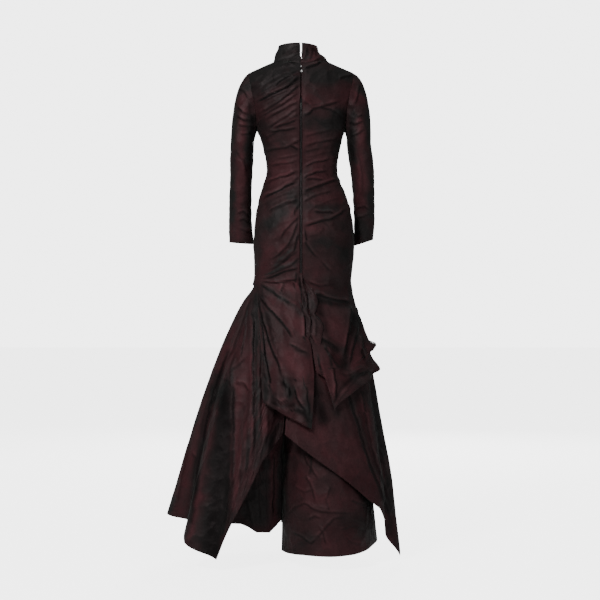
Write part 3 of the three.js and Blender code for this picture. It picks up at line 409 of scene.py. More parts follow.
# Where one of the two thread colours leads on the back: amount, width and line. An amount above 0
# is wine, and one below 0 is green-black.
WASHES = {
    "back_left": [
        (-1.1, 12, ((262, 72), (280, 66), (298, 62))), (-0.75, 12, ((254, 88), (275, 82), (298, 80))),
        (0.5, 3.5, ((286, 70), (278, 77), (270, 84))), (0.5, 2.5, ((297, 73), (284, 82), (272, 90))),
        (0.45, 9, ((262, 112), (276, 118), (290, 108))), (0.5, 8, ((270, 140), (285, 155), (280, 170))),
        (-0.4, 4, ((262, 140), (266, 160), (266, 175))), (-0.5, 5, ((296, 186), (280, 196), (262, 205))),
        (-0.7, 6, ((296, 204), (284, 212), (272, 224), (268, 240))), (-0.4, 5, ((257, 230), (257, 262))),
        (0.6, 6, ((292, 212), (276, 232), (266, 250), (262, 270))), (0.35, 5, ((286, 232), (281, 244))),
        (-0.5, 2.5, ((296, 238), (290, 252), (276, 264))), (0.3, 2.5, ((297, 253), (284, 264))),
        (-0.5, 2, ((298, 262), (282, 268), (268, 275))), (0.6, 5, ((270, 284), (286, 286), (296, 290))),
        (-0.7, 3, ((264, 287), (276, 295), (290, 305), (302, 315))),
        (0.8, 9, ((276, 303), (292, 318), (302, 330))), (-0.1, 6, ((266, 312), (272, 330), (284, 340))),
        (0.8, 9, ((294, 360), (300, 372), (302, 384))), (-0.7, 3, ((296, 350), (308, 356))),
        (0.6, 5, ((272, 372), (276, 390), (282, 400))), (-0.8, 3, ((264, 352), (267, 372), (266, 398))),
        (-0.6, 3, ((287, 384), (290, 398))), (-0.8, 3, ((309, 376), (305, 390), (308, 412), (311, 426))),
        (-0.7, 3.5, ((290, 410), (304, 411))),
    ],
    "back_right": [
        (-1.0, 9, ((306, 72), (325, 72), (345, 76))), (-0.4, 9, ((306, 86), (322, 84), (338, 84))),
        (0.5, 6, ((340, 88), (348, 94), (340, 102))), (0.4, 5, ((305, 103), (318, 102), (330, 100))),
        (-0.7, 7, ((308, 122), (322, 123), (332, 120))), (-0.8, 6, ((340, 112), (345, 122))),
        (0.35, 3.5, ((312, 113), (322, 115), (330, 116))),
        (0.45, 10, ((312, 140), (326, 145), (320, 158))), (-0.5, 4, ((337, 142), (335, 160), (337, 178))),
        (-0.3, 6, ((308, 170), (322, 168))), (-0.35, 6, ((306, 184), (320, 190), (335, 186))),
        (0.4, 4, ((313, 200), (322, 202))), (-0.55, 3, ((310, 206), (330, 208), (344, 206))),
        (0.4, 4, ((310, 216), (320, 216))), (0.45, 5, ((310, 228), (320, 230), (330, 224))),
        (-0.6, 9, ((314, 246), (330, 246), (342, 256))), (-0.3, 6, ((343, 232), (346, 262), (346, 284))),
        (0.4, 4, ((316, 272), (324, 272))), (-0.3, 6, ((328, 280), (342, 280))),
        (-0.8, 2.5, ((317, 299), (330, 303))), (0.6, 9, ((334, 318), (338, 332), (334, 338))),
        (-0.8, 4, ((323, 340), (335, 348))), (-0.9, 4, ((343, 352), (344, 364))),
        (-0.6, 4, ((354, 312), (355, 340))), (0.5, 4, ((352, 366), (362, 358))),
        (-0.6, 2.5, ((352, 377), (364, 374))), (0.5, 3, ((324, 365), (331, 385), (334, 398))),
        (-0.5, 2.5, ((328, 394), (334, 408))),
    ],
    "collar": [
        (-1.3, 12, ((297, 48), (286, 50), (279, 60))), (0.4, 2.5, ((283, 57), (291, 52), (297, 51))),
        (0.6, 4, ((304, 46), (314, 47))), (-0.5, 2.5, ((308, 48), (306, 60))),
        (0.5, 3, ((315, 56), (318, 52))), (-0.8, 6, ((270, 66), (262, 68))),
        (-0.8, 5, ((324, 62), (332, 66))),
    ],
    "overskirt_left": [
        (0.5, 5, ((246, 302), (231, 340), (216, 378), (200, 420), (186, 466), (178, 508))),
        (-0.7, 2.5, ((173, 498), (169, 514))),
        (-0.8, 3, ((219, 376), (208, 410), (201, 445), (195, 490))),
        (0.7, 3, ((231, 350), (216, 402), (206, 450), (198, 496), (190, 538))),
        (-1.0, 8, ((224, 392), (222, 430), (218, 470), (212, 520), (212, 548))),
        (-1.0, 6, ((227, 470), (222, 510), (220, 530))),
        (0.8, 4.5, ((238, 385), (238, 430), (237, 470), (234, 506))), (0.4, 5, ((246, 380), (246, 430))),
        (-0.6, 2, ((250, 430), (247, 470))),
        (-1.0, 2.4, ((257, 296), (256.5, 340), (257, 400), (258, 445), (254, 466))),
        (0.7, 3, ((264, 404), (265, 430))), (0.4, 4, ((243, 330), (243, 364))),
    ],
    "overskirt_right": [
        (0.55, 16, ((300, 428), (330, 430), (350, 460), (366, 488))), (0.3, 12, ((320, 455), (345, 475))),
        (-0.8, 2.6, ((350, 396), (357, 418), (365, 446), (377, 480), (388, 510))),
        (0.2, 3, ((358, 400), (363, 426), (370, 452))),
        (-0.9, 4, ((371, 404), (377, 436), (386, 476), (393, 512))),
        (-0.6, 4, ((374, 384), (381, 420), (388, 452))),
    ],
    "underskirt_right": [
        (0.5, 16, ((300, 480), (310, 520), (330, 540))), (-0.8, 3, ((285, 440), (284, 500), (285, 548))),
        (-0.5, 6, ((296, 532), (308, 537))), (-0.5, 7, ((345, 518), (362, 524))),
        (0.2, 8, ((345, 500), (350, 540))),
    ],
    "underskirt_left": [
        (-0.9, 9, ((253, 480), (255, 520))), (-0.6, 5, ((266, 462), (264, 525))),
        (0.5, 3, ((273, 455), (273, 520))), (-0.9, 3, ((281, 450), (280, 515))),
    ],
    "sleeve_left": [
        (0.75, 3.2, ((246, 100), (242, 118), (241, 150), (240, 185), (238, 215), (240, 238))),
        (-0.8, 4, ((251, 120), (249, 160), (250, 200))), (-0.9, 4, ((234, 90), (232, 140), (231, 220))),
        (0.4, 4, ((248, 232), (254, 236))), (-0.9, 7, ((240, 78), (248, 86))),
    ],
    "sleeve_right": [
        (0.7, 4, ((352, 84), (352, 98))), (0.7, 3.2, ((360, 120), (361, 150), (361, 190), (362, 210))),
        (-0.8, 3.5, ((353, 114), (353, 150), (355, 190))),
        (-0.9, 4, ((369, 110), (371, 160), (372, 215))), (-0.8, 7, ((358, 228), (366, 234))),
        (-0.8, 5, ((356, 78), (362, 88))),
    ],
}


# Painted shade on the back, where the cloth lies in shadow or in a deep hollow: amount, width and
# line. An amount below 0 paints light instead: a painted highlight, where the silk looks paler.
SHADES = {
    "back_left": [
        (0.25, 22, ((268, 98), (284, 126))), (-0.5, 9, ((276, 303), (292, 318), (302, 330))),
        (-0.45, 8, ((294, 358), (300, 372))), (-0.35, 8, ((270, 284), (294, 290))),
        (-0.4, 5, ((280, 345), (290, 362), (296, 384))), (-0.3, 5, ((290, 216), (276, 234), (266, 252))),
        (-0.6, 2.2, ((281, 401), (291, 399), (300, 404), (307, 413))),
        (0.95, 2.4, ((272, 404), (283, 407), (293, 405), (302, 412), (309, 421))),
        (0.4, 26, ((262, 84), (298, 74))), (0.45, 3, ((284, 72), (272, 82))),
        (0.4, 2.5, ((292, 77), (276, 87))), (0.35, 6, ((259, 118), (263, 135))),
        (0.3, 6, ((262, 186), (268, 190))), (0.3, 6, ((280, 236), (286, 232))),
        (0.4, 3, ((294, 242), (280, 259))), (0.3, 5, ((264, 306), (270, 330), (276, 350))),
        (0.6, 3, ((283, 382), (287, 396))), (0.5, 4, ((293, 392), (298, 404))),
        (0.6, 2.5, ((271, 392), (276, 404))),
        (0.6, 2.5, ((262, 296), (268, 322), (276, 352), (284, 384))), (0.5, 3, ((298, 411), (306, 415))),
    ],
    "frill_left": [
        (0.8, 2, ((298, 276), (300, 290), (301, 303), (304, 316), (304, 329), (303, 337))),
    ],
    "frill_right": [
        (0.9, 2.2, ((303, 280), (308, 293), (307, 302), (309, 312), (309, 333), (314, 346))),
    ],
    "back_right": [
        (0.8, 2, ((334, 402), (341, 388), (350, 379), (368, 371))),
        (-0.6, 2.2, ((337, 405), (345, 391), (354, 383), (368, 377))),
        (-0.4, 9, ((334, 318), (338, 332))), (-0.35, 6, ((326, 308), (342, 312))),
        (-0.35, 4, ((352, 366), (364, 358))), (-0.3, 6, ((310, 228), (322, 228))),
        (0.8, 3.5, ((319, 297), (320, 305), (318, 314))), (0.3, 24, ((302, 74), (340, 84))),
        (0.3, 5, ((306, 108), (313, 103))), (0.4, 7, ((312, 120), (326, 123), (338, 116))),
        (0.7, 5, ((345, 112), (347, 124))), (0.25, 8, ((308, 184), (324, 178))),
        (0.35, 12, ((320, 246), (342, 250))), (0.3, 10, ((345, 214), (348, 250), (346, 284))),
        (0.4, 6, ((322, 285), (344, 288))), (0.7, 3, ((317, 299), (330, 303), (346, 305))),
        (0.6, 4, ((318, 314), (325, 330))), (0.8, 4, ((322, 340), (336, 349))),
        (0.95, 5, ((352, 318), (350, 340), (345, 362))), (0.9, 4, ((331, 356), (340, 367))),
        (0.8, 4, ((357, 306), (359, 326))), (0.6, 3, ((362, 346), (368, 364))),
        (0.5, 3, ((338, 372), (337, 400))), (0.6, 2.5, ((325, 380), (330, 398))),
    ],
    "overskirt_left": [
        (-0.75, 3, ((231, 350), (216, 402), (206, 450), (198, 496), (190, 538))),
        (-0.5, 3, ((238, 385), (237, 430), (236, 470), (233, 506))),
        (-0.3, 8, ((242, 300), (226, 350), (206, 400), (190, 450))), (-0.5, 3, ((264, 404), (265, 440))),
        (0.9, 4, ((229, 352), (217, 384), (209, 412), (202, 446), (196, 484), (190, 520))),
        (1.1, 10, ((226, 394), (224, 430), (220, 470), (214, 520), (212, 552))),
        (0.6, 5, ((229, 400), (229, 470), (226, 520))), (0.9, 6, ((277, 410), (275, 430), (272, 446))),
        (0.35, 5, ((245, 330), (240, 364))),
    ],
    "overskirt_right": [
        (-0.2, 14, ((330, 430), (350, 460))), (1.1, 6, ((313, 378), (316, 396), (322, 418))),
        (0.8, 7, ((313, 392), (315, 408), (322, 420))), (0.6, 4, ((342, 394), (336, 412))),
        (0.5, 5, ((356, 392), (363, 424), (371, 454), (384, 492))), (0.35, 12, ((352, 478), (372, 492))),
        (0.5, 3, ((347, 398), (353, 420), (362, 446))), (0.4, 6, ((383, 496), (392, 524), (398, 548))),
    ],
    "underskirt_right": [
        (0.7, 3, ((322, 466), (345, 480), (368, 500))), (0.5, 12, ((336, 530), (356, 524), (370, 530))),
        (0.6, 4, ((372, 512), (373, 540))), (0.4, 4, ((328, 482), (334, 492))),
        (0.5, 3, ((311, 456), (311, 472))),
    ],
    "underskirt_left": [
        (-0.8, 13, ((268, 456), (265, 495), (260, 530))), (0.4, 3, ((281, 446), (281, 516))),
    ],
    "collar": [
        (0.4, 2.5, ((298, 47), (298, 60))), (0.5, 2, ((305, 66), (312, 63), (321, 58))),
    ],
    "sleeve_left": [
        (0.5, 5, ((254, 76), (251, 90), (250, 104))),
        (0.75, 4.5, ((250, 104), (251, 130), (249, 170), (250, 215))), (0.5, 5, ((252, 118), (253, 126))),
    ],
    "sleeve_right": [
        (0.5, 5, ((350, 78), (352, 92), (351, 106))), (0.8, 4.5, ((351, 110), (352, 130), (353, 160))),
        (0.4, 5, ((356, 205), (358, 240))), (0.4, 5, ((364, 190), (366, 238))),
    ],
}


# The folds of the hidden front, on the same grid seen through the gown. They repeat the back's.
# Their shade column paints shade below each fold, as on the back.
FRONT_FOLDS = {
    "front": [
        (3, 4, 0.6, ((262, 74), (280, 84), (300, 88), (320, 84), (338, 76))),
        (4, 4, 0.7, ((256, 92), (275, 100), (300, 104), (322, 98), (342, 90))),
        (4, 4, 0.8, ((260, 112), (280, 118), (300, 118), (318, 112))),
        (3, 3, 0.5, ((284, 108), (306, 112), (340, 106))),
        (3, 3, 0.6, ((262, 126), (290, 130), (322, 124), (340, 118))),
        (2, 3, 0.4, ((266, 140), (290, 141), (312, 136))),
        (2, 2.5, 0.5, ((290, 146), (315, 142), (338, 134))),
        (2, 2.5, 0.5, ((264, 152), (288, 154), (318, 149))),
        (2, 2.5, 0.4, ((280, 163), (308, 160), (336, 152))),
        (2, 2.5, 0.6, ((266, 170), (292, 170), (322, 164))),
        (4, 3.5, 0.9, ((262, 186), (284, 186), (312, 180), (338, 170))),
        (3, 3, 0.6, ((290, 196), (318, 190), (340, 180))),
        (5, 4, 0.9, ((260, 204), (280, 205), (306, 198), (328, 190))),
        (3, 3, 0.5, ((258, 220), (280, 218), (300, 212))),
        (5, 4, 0.8, ((288, 224), (312, 218), (334, 208), (350, 200))),
        (4, 4, 0.7, ((257, 242), (282, 240), (312, 232), (340, 222))),
        (3, 3, 0.5, ((262, 256), (290, 254), (318, 248))),
        (4, 3.5, 0.7, ((286, 266), (316, 260), (346, 246))),
        (4, 3.5, 0.7, ((258, 274), (284, 274), (308, 270))),
    ],
    "overskirt_left": [
        (6, 5, 0.7, ((268, 296), (256, 340), (240, 400), (222, 460), (206, 510))),
        (6, 6, 0.6, ((284, 292), (278, 340), (268, 400), (256, 450), (246, 500))),
        (4, 5, 0.5, ((256, 320), (238, 370), (216, 430), (192, 490))),
        (4, 5, 0.5, ((294, 300), (292, 360), (288, 430), (284, 500))),
    ],
    "overskirt_right": [
        (6, 5, 0.7, ((330, 294), (340, 340), (350, 400), (360, 450), (368, 500))),
        (6, 6, 0.6, ((314, 296), (318, 340), (322, 400), (328, 460), (332, 500))),
        (4, 5, 0.5, ((346, 310), (358, 370), (372, 440), (384, 500))),
    ],
    "sleeve_left": [
        (2.5, 3, 0.6, ((240, 92), (246, 100), (252, 104))),
        (3, 3, 0.7, ((236, 116), (244, 122), (253, 122))),
        (2.5, 3, 0.5, ((238, 130), (246, 134), (254, 132))),
        (2, 3, 0.4, ((236, 160), (244, 172), (248, 190))),
        (2.5, 3, 0.6, ((236, 210), (244, 214), (251, 210))),
        (2, 3, 0.4, ((238, 222), (246, 226), (253, 222))),
    ],
    "sleeve_right": [
        (2.5, 3, 0.6, ((360, 92), (356, 100), (352, 106))),
        (3, 3, 0.7, ((349, 120), (357, 122), (365, 116))),
        (2.5, 3, 0.5, ((350, 134), (358, 134), (366, 128))),
        (2, 3, 0.4, ((358, 150), (362, 176), (361, 200))),
        (2.5, 3, 0.6, ((356, 212), (363, 214), (371, 208))),
    ],
}


# Small helpers, all on arrays
def mix(a, b, t):
    return a + (b - a) * t


def clamp(t):
    return np.clip(t, 0.0, 1.0)


def ease(t):
    t = clamp(t)
    return t * t * (3 - 2 * t)


def bell(distance, width):
    return np.exp(-(distance / width) ** 2)


def straight(tab, by, at, column):
    x, y = tab[by], tab[column]
    return np.interp(at, x[::-1], y[::-1]) if x[0] > x[-1] else np.interp(at, x, y)


def smooth(tab, by, at, column):
    """Reads a column on a smooth curve through the rows that never overshoots them."""
    x, y = tab[by], tab[column]
    if x[0] > x[-1]:
        x, y = x[::-1], y[::-1]
    gap = np.diff(x)
    slope = np.diff(y) / gap
    turn = slope[:-1] * slope[1:] > 0
    total = np.where(turn, slope[:-1] + slope[1:], 1)
    inner = np.where(turn, 2 * slope[:-1] * slope[1:] / total, 0)
    tangent = np.concatenate(([slope[0]], inner, [slope[-1]]))
    at = np.clip(at, x[0], x[-1])
    k = np.clip(np.searchsorted(x, at, side="right") - 1, 0, len(x) - 2)
    t = (at - x[k]) / gap[k]
    return ((2 * t**3 - 3 * t**2 + 1) * y[k] + (t**3 - 2 * t**2 + t) * gap[k] * tangent[k]
            + (3 * t**2 - 2 * t**3) * y[k + 1] + (t**3 - t**2) * gap[k] * tangent[k + 1])


def lattice(i, j, seed):
    n = (i * 374761393 + j * 668265263 + seed * 974634777) & 0xFFFFFFFF
    n = ((n ^ (n >> 13)) * 1274126177) & 0xFFFFFFFF
    return ((n ^ (n >> 16)) & 0xFFFF) / 32767.5 - 1


def noise(x, y, seed):
    """Smooth random field from -1 to 1."""
    i, j = np.floor(x).astype(np.int64), np.floor(y).astype(np.int64)
    s, t = ease(x - i), ease(y - j)
    top = mix(lattice(i, j, seed), lattice(i + 1, j, seed), s)
    low = mix(lattice(i, j + 1, seed), lattice(i + 1, j + 1, seed), s)
    return mix(top, low, t)


def crumple(x, y, seed, folds):
    """Sharp crossing creases, as in crisp silk that has been crushed and shaken out."""
    random = np.random.default_rng(seed)
    total = np.zeros_like(x)
    for k in range(folds):
        angle, scale, phase = random.uniform(0, math.pi), random.uniform(0.6, 1.7), random.uniform(0, 1)
        bent = 0.5 * noise(x * 0.9, y * 0.9, seed + k)
        along = (x * math.cos(angle) + y * math.sin(angle) + bent) * scale + phase
        fold = np.abs(along - np.floor(along) - 0.5) * 4 - 1
        total += fold * ease(0.45 + 1.1 * noise(x * 0.8 + 7.3 * k, y * 0.8, seed + 50 + k)) / scale
    return total / math.sqrt(folds)


# The figure and its parts
def measures(height, *columns):
    """The figure's measures at a height, by the names of their columns."""
    return [smooth(FIGURE, "height", height, column) for column in columns]


def figure(angle, height, lift=0.0):
    """A point of the figure by its angle from the centre back, its height and its lift."""
    left, right, seam, back, front = measures(height, "left", "right", "seam", "back", "front")
    half = (right - left) / 2
    sine, cosine = np.sin(np.radians(angle)), np.cos(np.radians(angle))
    reach = np.abs(np.where(cosine > 0, back, front) - seam)
    out_x, out_y = sine * reach, -cosine * half
    size = np.hypot(out_x, out_y)
    x = (left + right) / 2 + half * sine + out_x / size * lift
    y = seam - reach * cosine + out_y / size * lift
    return np.stack(np.broadcast_arrays(x, y, height), -1)


def angle_of(x, height):
    """The angle whose point on the back lies x from the middle."""
    left, right = measures(height, "left", "right")
    return np.degrees(np.arcsin(np.clip((x - (left + right) / 2) / ((right - left) / 2), -1, 1)))


def on_back(x, height, lift):
    """The point of the back that lies x from the middle, at a height and a lift."""
    return figure(angle_of(x, height), height, lift)


def top_line(x, back):
    """Where the body panels end at the neck and along the shoulder."""
    out = np.abs(x)
    inward = clamp(1 - (out / NECK_SIDE) ** 2)
    deep = np.where(back, NECK["back"][0], NECK["front"][0])
    low = np.where(back, NECK["back"][1], NECK["front"][1])
    share = (out - NECK_SIDE) / (SHOULDER_X - NECK_SIDE)
    y = np.where(out < NECK_SIDE, mix(NECK_MIDDLE, deep, np.sqrt(inward)), SHOULDER_Y)
    z = np.where(out < NECK_SIDE, mix(NECK_SIDE_Z, low, inward), mix(NECK_SIDE_Z, SHOULDER_Z, share))
    return y, z


def bodice(angle, height, lift=0.0):
    """The figure with its yoke rounded over to the top line."""
    back = np.cos(np.radians(angle)) > 0
    bare = figure(angle, height)
    point = figure(angle, height, lift)
    y, z = top_line(bare[..., 0], back)
    share = np.sqrt(1 - (1 - clamp((z - height) / YOKE_ROUNDING)) ** 2)
    point[..., 1] += (1 - share) * (y + np.where(back, -0.35, 0.35) - bare[..., 1])
    point[..., 2] += (1 - share) * lift
    return point


def edge_angle(side, height):
    """Where a body panel ends at the armhole, and at the side seam below it."""
    out = straight(ARMHOLE, "height", height, "out") - 0.3
    arm = np.clip(angle_of(side * out, height), -89.9, 89.9)
    return np.where(height <= UNDERARM, side * 89.9, arm)


def flutes(angle, height):
    """How far the overskirt's long folds stand out."""
    grown = clamp((SKIRT_TOP - height) / FLUTE_LENGTH) ** 1.15
    total = sum(rise * bell(angle - at, width) for at, rise, width in zip(*FLUTES.values()))
    return grown * total


def column_angle(u, inner, outer, level, side, face):
    """Spreads columns so that, near the neck, one column lands on the neck point."""
    plain = mix(inner, outer, u)
    start = np.abs(figure(inner, level)[..., 0])
    across = mix(start, NECK_SIDE, np.sin(np.radians(90 * np.minimum(1, u / NECK_SHARE))))
    far = outer if face > 0 else side * 180 - outer
    beyond = mix(angle_of(side * NECK_SIDE, level), far, (u - NECK_SHARE) / (1 - NECK_SHARE))
    top = np.where(u < NECK_SHARE, angle_of(side * across, level), beyond)
    return plain, top if face > 0 else side * 180 - top


def tuck(signed, far, width):
    """A fold's height beside its line: gentle on one side, sharp on the other."""
    return np.where(signed > 0, bell(far, 0.28 * width), np.exp(-(far / width) ** 1.35))


def folded(v, u, tab, seed, sway):
    """Uneven pleats: each is steep below its crest, and fades and wanders along its length."""
    total = 0
    for k, rise in enumerate(tab["rise"]):
        if rise <= 0:
            continue
        bent = v - k + sway * noise(u * 3.1, v * 0 + k * 3.7, seed)
        strong = 0.55 + 0.5 * noise(u * 2.3 + 5, v * 0 + k * 5.1, seed + 9)
        total = total + rise * strong * tuck(bent, np.abs(bent), 0.5)
    return total


def measure(px, py, line):
    """For each point: how far a line is, on which side it lies, and how far along."""
    line = np.array(line, float)
    length = np.concatenate(([0], np.cumsum(np.hypot(*np.diff(line, axis=0).T))))
    far, signed, place = np.full(px.shape, 1e9), np.zeros(px.shape), np.zeros(px.shape)
    for a, b, run in zip(line[:-1], line[1:], length[:-1]):
        span = np.hypot(*(b - a))
        way = (b - a) / span
        across = np.array((-way[1], way[0]))
        if across[1] < -0.2 or (abs(across[1]) <= 0.2 and across[0] < 0):
            across = -across
        t = np.clip((px - a[0]) * way[0] + (py - a[1]) * way[1], 0, span)
        off_x, off_y = px - a[0] - way[0] * t, py - a[1] - way[1] * t
        gap = np.hypot(off_x, off_y)
        closer = gap < far
        far = np.where(closer, gap, far)
        signed = np.where(closer, off_x * across[0] + off_y * across[1], signed)
        place = np.where(closer, (run + t) / length[-1], place)
    return far, signed, place


def drawn(name, points, facing):
    """The lift, painted shade and highlight, and thread colour that the listed folds give a sheet."""
    marks = (tab.get(name, []) for tab in (FOLDS, WASHES, SHADES))
    back = drawn_side(points, ease(facing * 3.5 + 0.1), *marks)
    front = drawn_side(points, ease(0.4 - facing * 4), FRONT_FOLDS.get(name, []), [], [])
    return [a + b for a, b in zip(back, front)]


def drawn_side(points, seen, folds, washes, shades):
    """The same for the folds of one side, where seen says how far a point faces that side."""
    scale = VIEW_DISTANCE / (VIEW_DISTANCE + points[..., 1])
    px = GRID_MIDDLE + (points[..., 0] - VIEW_X) * scale / SQUARE
    py = GRID_MIDDLE - (points[..., 2] - VIEW_Z) * scale / SQUARE
    sway_x, sway_y = (SWAY * noise(px / SWAY_SIZE, py / SWAY_SIZE, seed) for seed in (3, 4))
    lift, hollow, wash, crest = (np.zeros(px.shape) for _ in range(4))
    for rise, width, shade, line in folds:
        far, signed, place = measure(px + sway_x, py + sway_y, line)
        fade = ease(place / 0.16 + 0.2) * ease((1 - place) / 0.25 + 0.08)
        lift += rise * fade * tuck(signed, far, width)
        past = np.sqrt(np.maximum(far**2 - signed**2, 0))
        below, above = np.hypot(signed - PAINTED_SHADE_BELOW, past), np.hypot(signed + CREST_ABOVE, past)
        # Painted shade just below each fold's line, as dark as its shade column says, and a painted
        # highlight on its crest
        hollow = np.maximum(hollow, clamp(1.15 * shade * fade) * bell(below, PAINTED_SHADE_WIDTH))
        crest = np.maximum(crest, shade * fade * bell(above, CREST_WIDTH))
    for amount, width, line in washes:
        far = measure(px + 2 * sway_x, py + 2 * sway_y, line)[0]
        wash += amount * bell(far, width * 1.15)
    # Crests take a painted highlight, which pushes the painted shade below 0
    hollow -= CREST_PAINTED_HIGHLIGHT * crest * (1 - hollow)
    # The SHADES table adds painted shade, and painted light where an amount is below 0
    for amount, width, line in shades:
        far = measure(px + 2 * sway_x, py + 2 * sway_y, line)[0]
        hollow = 1 - (1 - hollow) * (1 - 0.8 * amount * bell(far, width))
    return MOST_LIFT * np.tanh(lift / MOST_LIFT) * seen, hollow * seen, wash * seen


# Surfaces: each takes grids of u and share and gives points in millimetres
def peplum_clear(height):
    """How far the hanging panels stand off the skirt below the hip."""
    return PEPLUM_CLEAR * ease((SKIRT_TOP + 20 - height) / 160)


def back_panel(side, u, share):
    """A back panel: share runs down its pleats, and u from the centre back to its outer edge."""
    tab = PLEATS[side]
    count = len(tab["rise"])
    rows = dict(tab, place=np.arange(count, dtype=float))
    v = share * (count - 1)
    centre, edge = smooth(rows, "place", v, "centre"), smooth(rows, "place", v, "edge")
    free = FREE_EDGE[side]
    loose = ease((SKIRT_TOP - edge) / 40)
    hanging = angle_of(smooth(free, "height", edge, "x"), edge)
    outer = np.where(edge < SKIRT_TOP, hanging, edge_angle(side, edge))
    inner = angle_of(straight(CENTRE[side], "height", centre, "x"), centre)
    first = float(np.argmax(tab["edge"] < SKIRT_TOP))
    last = clamp((v - first) / (count - 1 - first))
    bend = mix(1, 0.62, last) if side > 0 else 1
    level = mix(centre, edge, u**bend)
    near_top = clamp(1 - v / TOP_ROWS)
    plain, top = column_angle(u, inner, outer, level, side, 1)
    angle = mix(plain, top, near_top)
    chord = mix(NECK["back"][1], SHOULDER_Z, u)
    height = level + near_top * (top_line(figure(angle, level)[..., 0], True)[1] - chord)
    pleat = folded(v, u, tab, 11 + side, 0.22) * ease(u / 0.08) * mix(ease((1 - u) / 0.06), 1, loose)
    pleat = pleat * (1 - 0.85 * ease((u - 0.6) / 0.3) * bell(edge - SKIRT_TOP - 20, 45))
    below = np.where(height < SKIRT_TOP, np.maximum(0, flutes(angle, height)), 0)
    swag = SWAG_RISE * last * (1 - np.cos(6 * np.pi * u))
    roll = ROLL_RISE * ease((u - 0.5) / 0.3) * ease((1 - u) / 0.15) * bell(height - SKIRT_TOP + 14, 24)
    tips = sum(reach * bell(edge - at, tall) for at, reach, tall in PEPLUM_TIPS) if side > 0 else 0
    flare = tips * ease((u - 0.7) / 0.3)
    return bodice(angle, height, peplum_clear(height) + below + pleat + swag + roll + flare)


def front_panel(u, share):
    """The front: share runs down its pleats, and u from its left edge to its right one."""
    tab = dict(PLEATS_FRONT, place=np.arange(len(PLEATS_FRONT["rise"]), dtype=float))
    v = share * (len(tab["rise"]) - 1)
    side = np.where(u < 0.5, -1, 1)
    out = np.abs(2 * u - 1)
    left, right = smooth(tab, "place", v, "left"), smooth(tab, "place", v, "right")
    edge = np.where(side < 0, left, right)
    middle = (left + right) / 2 - 10 * np.sin(np.pi * share)
    level = mix(middle, edge, out**1.6)
    side_painted_sheen = side * 180 - np.where(side < 0, edge_angle(-1, edge), edge_angle(1, edge))
    plain, top = column_angle(out, side * 180.0, side_painted_sheen, level, side, -1)
    near_top = clamp(1 - v / TOP_ROWS)
    angle = mix(plain, top, near_top)
    height = level + near_top * (top_line(figure(angle, level)[..., 0], False)[1] - SHOULDER_Z)
    return bodice(angle, height, 0.8 * folded(v, u * 2, PLEATS_FRONT, 23, 0.3) * ease((1 - out) / 0.08))


def sleeve(side, turn, share):
    """A sleeve: turn goes round it in degrees, and share from the armhole to the cuff."""
    rings = SLEEVE[side]
    cap = 0.4
    sine, cosine = np.sin(np.radians(turn)), np.cos(np.radians(turn))

    def ring(height):
        x, y, across, deep = (smooth(rings, "height", height, c) for c in ("x", "y", "across", "deep"))
        x = x + side * across * cosine
        return np.stack(np.broadcast_arrays(x, y - deep * sine, height), -1)

    down = clamp((share - cap) / (1 - cap))
    top, bottom = rings["height"][0], rings["height"][-1]
    low = ring(mix(top, bottom, down))
    fold = 0.9 * np.sin(16 * np.pi * down + np.radians(turn) * 1.5) * ease(down * 8) * ease((1 - down) * 8)
    low[..., 0] += side * cosine * fold * 0.6
    low[..., 1] -= sine * fold * 0.6
    low[..., 2] -= CUFF_TILT[side] * down * cosine
    t = clamp(share / cap)
    height = mix(SHOULDER_Z, UNDERARM, (1 - cosine) / 2)
    seam = edge_angle(side, height + 0.01)
    start = bodice(np.where(sine >= 0, seam, side * 180 - seam), height)
    start[..., 0] -= side * 2.2
    end = ring(top + 0 * height)
    drop = start[..., 2] - end[..., 2]
    outer = (1 + cosine) / 2
    first = start + np.stack([
        side * (4 + CAP_OUT[side] * outer), -4 * sine,
        -(CAP_DROP[side] * outer + 0.3 * drop * (1 - outer)),
    ], -1)
    second = end + np.stack([0 * drop, 0 * drop, 0.42 * drop], -1)
    t = t[..., None]
    upper = (1 - t)**3 * start + 3 * t * (1 - t)**2 * first + 3 * t**2 * (1 - t) * second + t**3 * end
    return np.where(share[..., None] > cap, low, upper)


def collar(u, share):
    """The collar: u runs from its left back edge round the front to the right one, share up it."""
    read = {name: smooth(COLLAR, "share", share, name) for name in COLLAR if name != "share"}
    begin = -np.degrees(np.arcsin((read["left"] + read["shift"]) / read["side"]))
    finish = -360 + np.degrees(np.arcsin((read["right"] - read["shift"]) / read["side"]))
    turn = np.radians(mix(begin, finish, u))
    back = np.cos(turn) > 0
    deep = np.where(back, read["back"], read["front"])
    low = np.where(back, read["backZ"], read["frontZ"])
    x = read["shift"] + read["side"] * np.sin(turn)
    y = mix(NECK_MIDDLE, deep, np.abs(np.cos(turn)))
    z = mix(read["sideZ"], low, np.cos(turn) ** 2) + (1 - share) * 0.2
    return np.stack([x, y, z], -1)


def overskirt(side, stated, share):
    """An overskirt: stated is a column's angle at the hem, and share runs down it."""
    hem = OVER_HEM[side]
    start = hem["angle"][0]
    height = mix(SKIRT_TOP - 1, straight(hem, "angle", stated, "height"), share)
    parted = ease((SLIT_TOP - height) / 120)
    joined = -2 + side * 0.06 - start
    angle = stated + joined * (1 - parted) * clamp(1 - np.abs(stated - start) / 5)
    inside = OVER_TUCK * (1 - ease((SKIRT_TOP - height) / 100))
    hollow = SLIT_HOLLOW * ease((SLIT_TOP - height) / 250) * bell(angle + 6, 6) if side < 0 else 0
    return figure(angle, height, flutes(angle, height) - inside - hollow)


